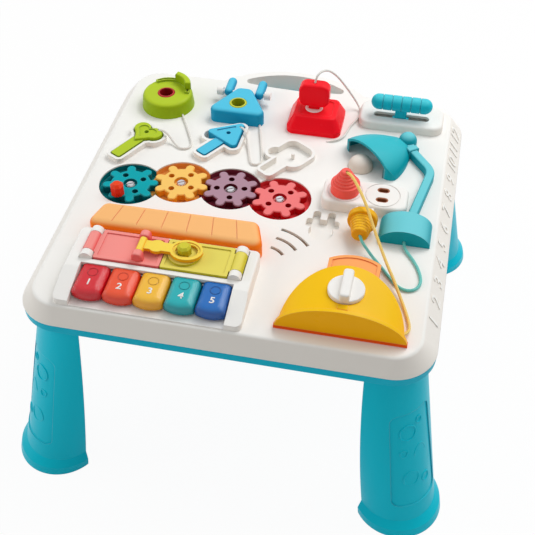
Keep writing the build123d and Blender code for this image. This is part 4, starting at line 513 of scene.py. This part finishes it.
def wire(name, points, thick, closed=False):
    """Round wire along a smooth line through control points."""
    data = bpy.data.curves.new(name, "CURVE")
    data.dimensions = "3D"
    data.resolution_u = CURVE_STEPS
    data.bevel_depth = thick
    data.bevel_resolution = WIRE_ROUNDS
    data.use_fill_caps = True
    spline = data.splines.new("NURBS")
    spline.points.add(len(points) - 1)
    for knot, point in zip(spline.points, points):
        knot.co = (*point, 1.0)
    spline.order_u = CURVE_ORDER
    spline.use_endpoint_u = not closed
    spline.use_cyclic_u = closed
    return link(bpy.data.objects.new(name + "_line", data))


def lay_cord(node_name, facts):
    """Cord piece along its route, in place of the CAD tube."""
    route = [above(*point) for point in facts["route"]]
    bare = wire(node_name, route, 0.0)
    line = [vertex.co.copy() for vertex in solid_copy(bare).vertices]
    bpy.data.objects.remove(bare)
    thick = facts["across"] / 2 * MM
    tube = wire(node_name, route, thick)
    piece = mesh_piece(node_name + "_lay", tube, PAINT[facts["colour"]])
    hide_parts(node_name)
    if len(facts["bodies"]) == 1:
        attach(piece, facts["bodies"][0])
    else:
        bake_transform(piece)


for cord_node, cord_facts in CORDS.items():
    lay_cord(cord_node, cord_facts)


def raised_text(name, words, size, thick, place, paint, body):
    """Raised numeral lying on a surface."""
    data = bpy.data.curves.new(name, "FONT")
    data.body = words
    data.size = size * MM
    data.align_x = "CENTER"
    data.align_y = "CENTER"
    data.extrude = thick / 2 * MM
    data.bevel_depth = NUMERAL_EDGE * MM
    data.bevel_resolution = LETTER_ROUNDS
    source = link(bpy.data.objects.new(name + "_words", data))
    source.matrix_world = place
    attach(mesh_piece(name, source, PAINT[paint]), body)


def bevel_numerals():
    """Numerals of a rule up the right bevel, read from the right side."""
    slope = math.hypot(BEVEL_LOW_X - BEVEL_TOP_X, BEVEL_DROP)
    run, rise = (BEVEL_LOW_X - BEVEL_TOP_X) / slope, BEVEL_DROP / slope
    turn = Matrix(((0.0, -run, rise), (1.0, 0.0, 0.0), (0.0, rise, run))).to_4x4()
    for k in range(NUMERAL_COUNT):
        y = NUMERAL_FIRST_Y + k * NUMERAL_STEP
        at = above((BEVEL_TOP_X + BEVEL_LOW_X) / 2, y, -BEVEL_DROP / 2)
        raised_text(f"bevel_numeral_{k + 1}", str(k + 1), NUMERAL_SIZE, NUMERAL_THICK,
                    Matrix.Translation(at) @ turn, "deck white", "table")


def key_marks():
    """White numeral on each piano key, and a ring of the key's own colour."""
    angles = [a * 2 * math.pi / KEY_RING_KNOTS for a in range(KEY_RING_KNOTS)]
    spots = [(KEY_RING_R * math.cos(angle), KEY_RING_R * math.sin(angle)) for angle in angles]
    for k in range(KEY_COUNT):
        x = KEY_MIDDLE_X + (k - KEY_COUNT // 2) * KEY_PITCH
        key = f"piano_key_{k + 1}"
        raised_text(f"key_numeral_{k + 1}", str(k + 1), KEY_NUMERAL_SIZE, KEY_NUMERAL_THICK,
                    Matrix.Translation(above(x, KEY_NUMERAL_Y, KEY_TOP)), "trim white",
                    key)
        name = f"key_ring_{k + 1}"
        knots = [above(x + dx, KEY_RING_Y + dy, KEY_TOP) for dx, dy in spots]
        ring = wire(name, knots, KEY_RING_WIRE * MM, True)
        piece = mesh_piece(name, ring, PAINT[NODE_PLASTIC[key]])
        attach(piece, key)


def screw_half(x, y, half, base):
    """Points and faces of half a slotted screw head, its points counted from base."""
    start = math.asin(SCREW_SLOT / 2 / SCREW_R)
    angles = [half + start + (math.pi - 2 * start) * step / SCREW_STEPS + math.radians(SCREW_TURN)
              for step in range(SCREW_STEPS + 1)]
    points = [above(x + radius * math.cos(angle), y + radius * math.sin(angle), z)
              for radius, z in ((SCREW_R, SCREW_LOW), (SCREW_CROWN_R, SCREW_TOP))
              for angle in angles]
    count = len(angles)
    faces = [[base + n for n in reversed(range(count))], [base + count + n for n in range(count)]]
    for n in range(count):
        after = (n + 1) % count
        faces.append([base + n, base + after, base + count + after, base + count + n])
    return points, faces


def gear_screws():
    """Slotted steel screw head on each gear post, as two half discs."""
    for k, (x, y) in enumerate(GEAR_SPOTS):
        points, faces = [], []
        for half in (0.0, math.pi):
            half_points, half_faces = screw_half(x, y, half, len(points))
            points += half_points
            faces += half_faces
        mesh = bpy.data.meshes.new(f"gear_screw_{k + 1}")
        mesh.from_pydata(points, [], faces)
        mesh.materials.append(PAINT["pin steel"])
        piece = link(bpy.data.objects.new(mesh.name, mesh))
        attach(piece, "table")


def leg_point(across, height):
    """Point on the front right leg's panel, from millimetres across it and up."""
    inset = LEG_LEAN * height
    share = (height - LEG_FLARE_TOP) / (LEG_HEIGHT - LEG_FLARE_TOP)
    radius = LEG_FOOT_R + (LEG_TOP_R - LEG_FOOT_R) * share - LEG_PANEL_DEEP
    angle = across / radius - math.pi / 4
    x = LEG_FOOT[0] - inset + radius * math.cos(angle)
    y = -LEG_FOOT[1] + inset + radius * math.sin(angle)
    return Vector((x, y, height)) * MM


def leg_marks():
    """Raised ring, triangle and square outlines down each leg's panel."""
    shapes = []
    for sides, size, across, height, turn in LEG_SHAPES:
        outline = []
        for k in range(sides):
            angle = math.radians(turn + 360.0 * k / sides)
            outline.append((across + size * math.cos(angle), height + size * math.sin(angle)))
        shapes.append(outline)
    for tag, (sx, sy) in LEG_SIDES.items():
        for k, outline in enumerate(shapes):
            corners = [leg_point(*spot) for spot in outline]
            corners = [Vector((sx * p.x, sy * p.y, p.z)) for p in corners]
            name = f"leg_mark_{tag}_{k + 1}"
            outline_wire = wire(name, corners, LEG_WIRE * MM, True)
            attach(mesh_piece(name, outline_wire, PAINT["leg teal"]), "table")


bevel_numerals()
key_marks()
gear_screws()
leg_marks()


def background_rays(tree):
    """One for rays that show the background, straight, mirrored or through clear parts."""
    path = add(tree, "ShaderNodeLightPath")
    direct = math_node(tree, "MAXIMUM", path.outputs["Is Camera Ray"], path.outputs["Is Glossy Ray"])
    return math_node(tree, "MAXIMUM", direct, path.outputs["Is Transmission Ray"])


def lay_floor():
    """Pale floor that glows white where it is seen straight or mirrored."""
    half = FLOOR_SIZE / 2
    mesh = bpy.data.meshes.new("floor")
    corners = [(-half, -half, 0), (half, -half, 0), (half, half, 0), (-half, half, 0)]
    mesh.from_pydata(corners, [], [(0, 1, 2, 3)])
    floor = link(bpy.data.objects.new("floor", mesh))
    material, tree, shader = new_material("studio floor")
    shader.inputs["Base Color"].default_value = (FLOOR_WHITE, FLOOR_WHITE, FLOOR_WHITE, 1.0)
    shader.inputs["Roughness"].default_value = FLOOR_ROUGH
    glow = add(tree, "ShaderNodeEmission")
    mix = add(tree, "ShaderNodeMixShader")
    tree.links.new(math_node(tree, "MULTIPLY", background_rays(tree), FLOOR_GLOW), mix.inputs["Fac"])
    tree.links.new(shader.outputs["BSDF"], mix.inputs[1])
    tree.links.new(glow.outputs["Emission"], mix.inputs[2])
    tree.links.new(mix.outputs["Shader"], tree.nodes["Material Output"].inputs["Surface"])
    mesh.materials.append(material)


def light_sky():
    """White sky all round, dimmer as a light than it looks."""
    world = bpy.data.worlds.new("studio")
    bpy.context.scene.world = world
    world.use_nodes = True
    tree = world.node_tree
    sky = tree.nodes["Background"]
    sky.inputs["Color"].default_value = PURE_WHITE
    strength = math_node(tree, "MAXIMUM", background_rays(tree), SKY_STRENGTH)
    tree.links.new(strength, sky.inputs["Strength"])


def hang_lamps():
    """Soft lamps that point at the middle of the deck."""
    for name, (at, wide, high, power) in LAMPS.items():
        lamp = bpy.data.lights.new(name, "AREA")
        lamp.shape = "RECTANGLE"
        lamp.size, lamp.size_y = wide, high
        lamp.energy = power
        holder = link(bpy.data.objects.new(name, lamp))
        holder.location = at
        aim = Vector((0.0, 0.0, DECK)) - Vector(at)
        holder.rotation_euler = aim.to_track_quat("-Z", "Y").to_euler()


def set_camera():
    """Camera in front of the table and above it, looking down at the deck."""
    lens = bpy.data.cameras.new("camera")
    lens.lens = CAMERA_LENS
    lens.sensor_width = CAMERA_SENSOR
    camera = link(bpy.data.objects.new("camera", lens))
    camera.location = CAMERA_AT
    camera.rotation_euler = (math.radians(CAMERA_TILT), 0.0, math.radians(CAMERA_YAW))
    bpy.context.scene.camera = camera


bpy.context.scene.view_settings.view_transform = "Standard"
lay_floor()
light_sky()
hang_lamps()
set_camera()
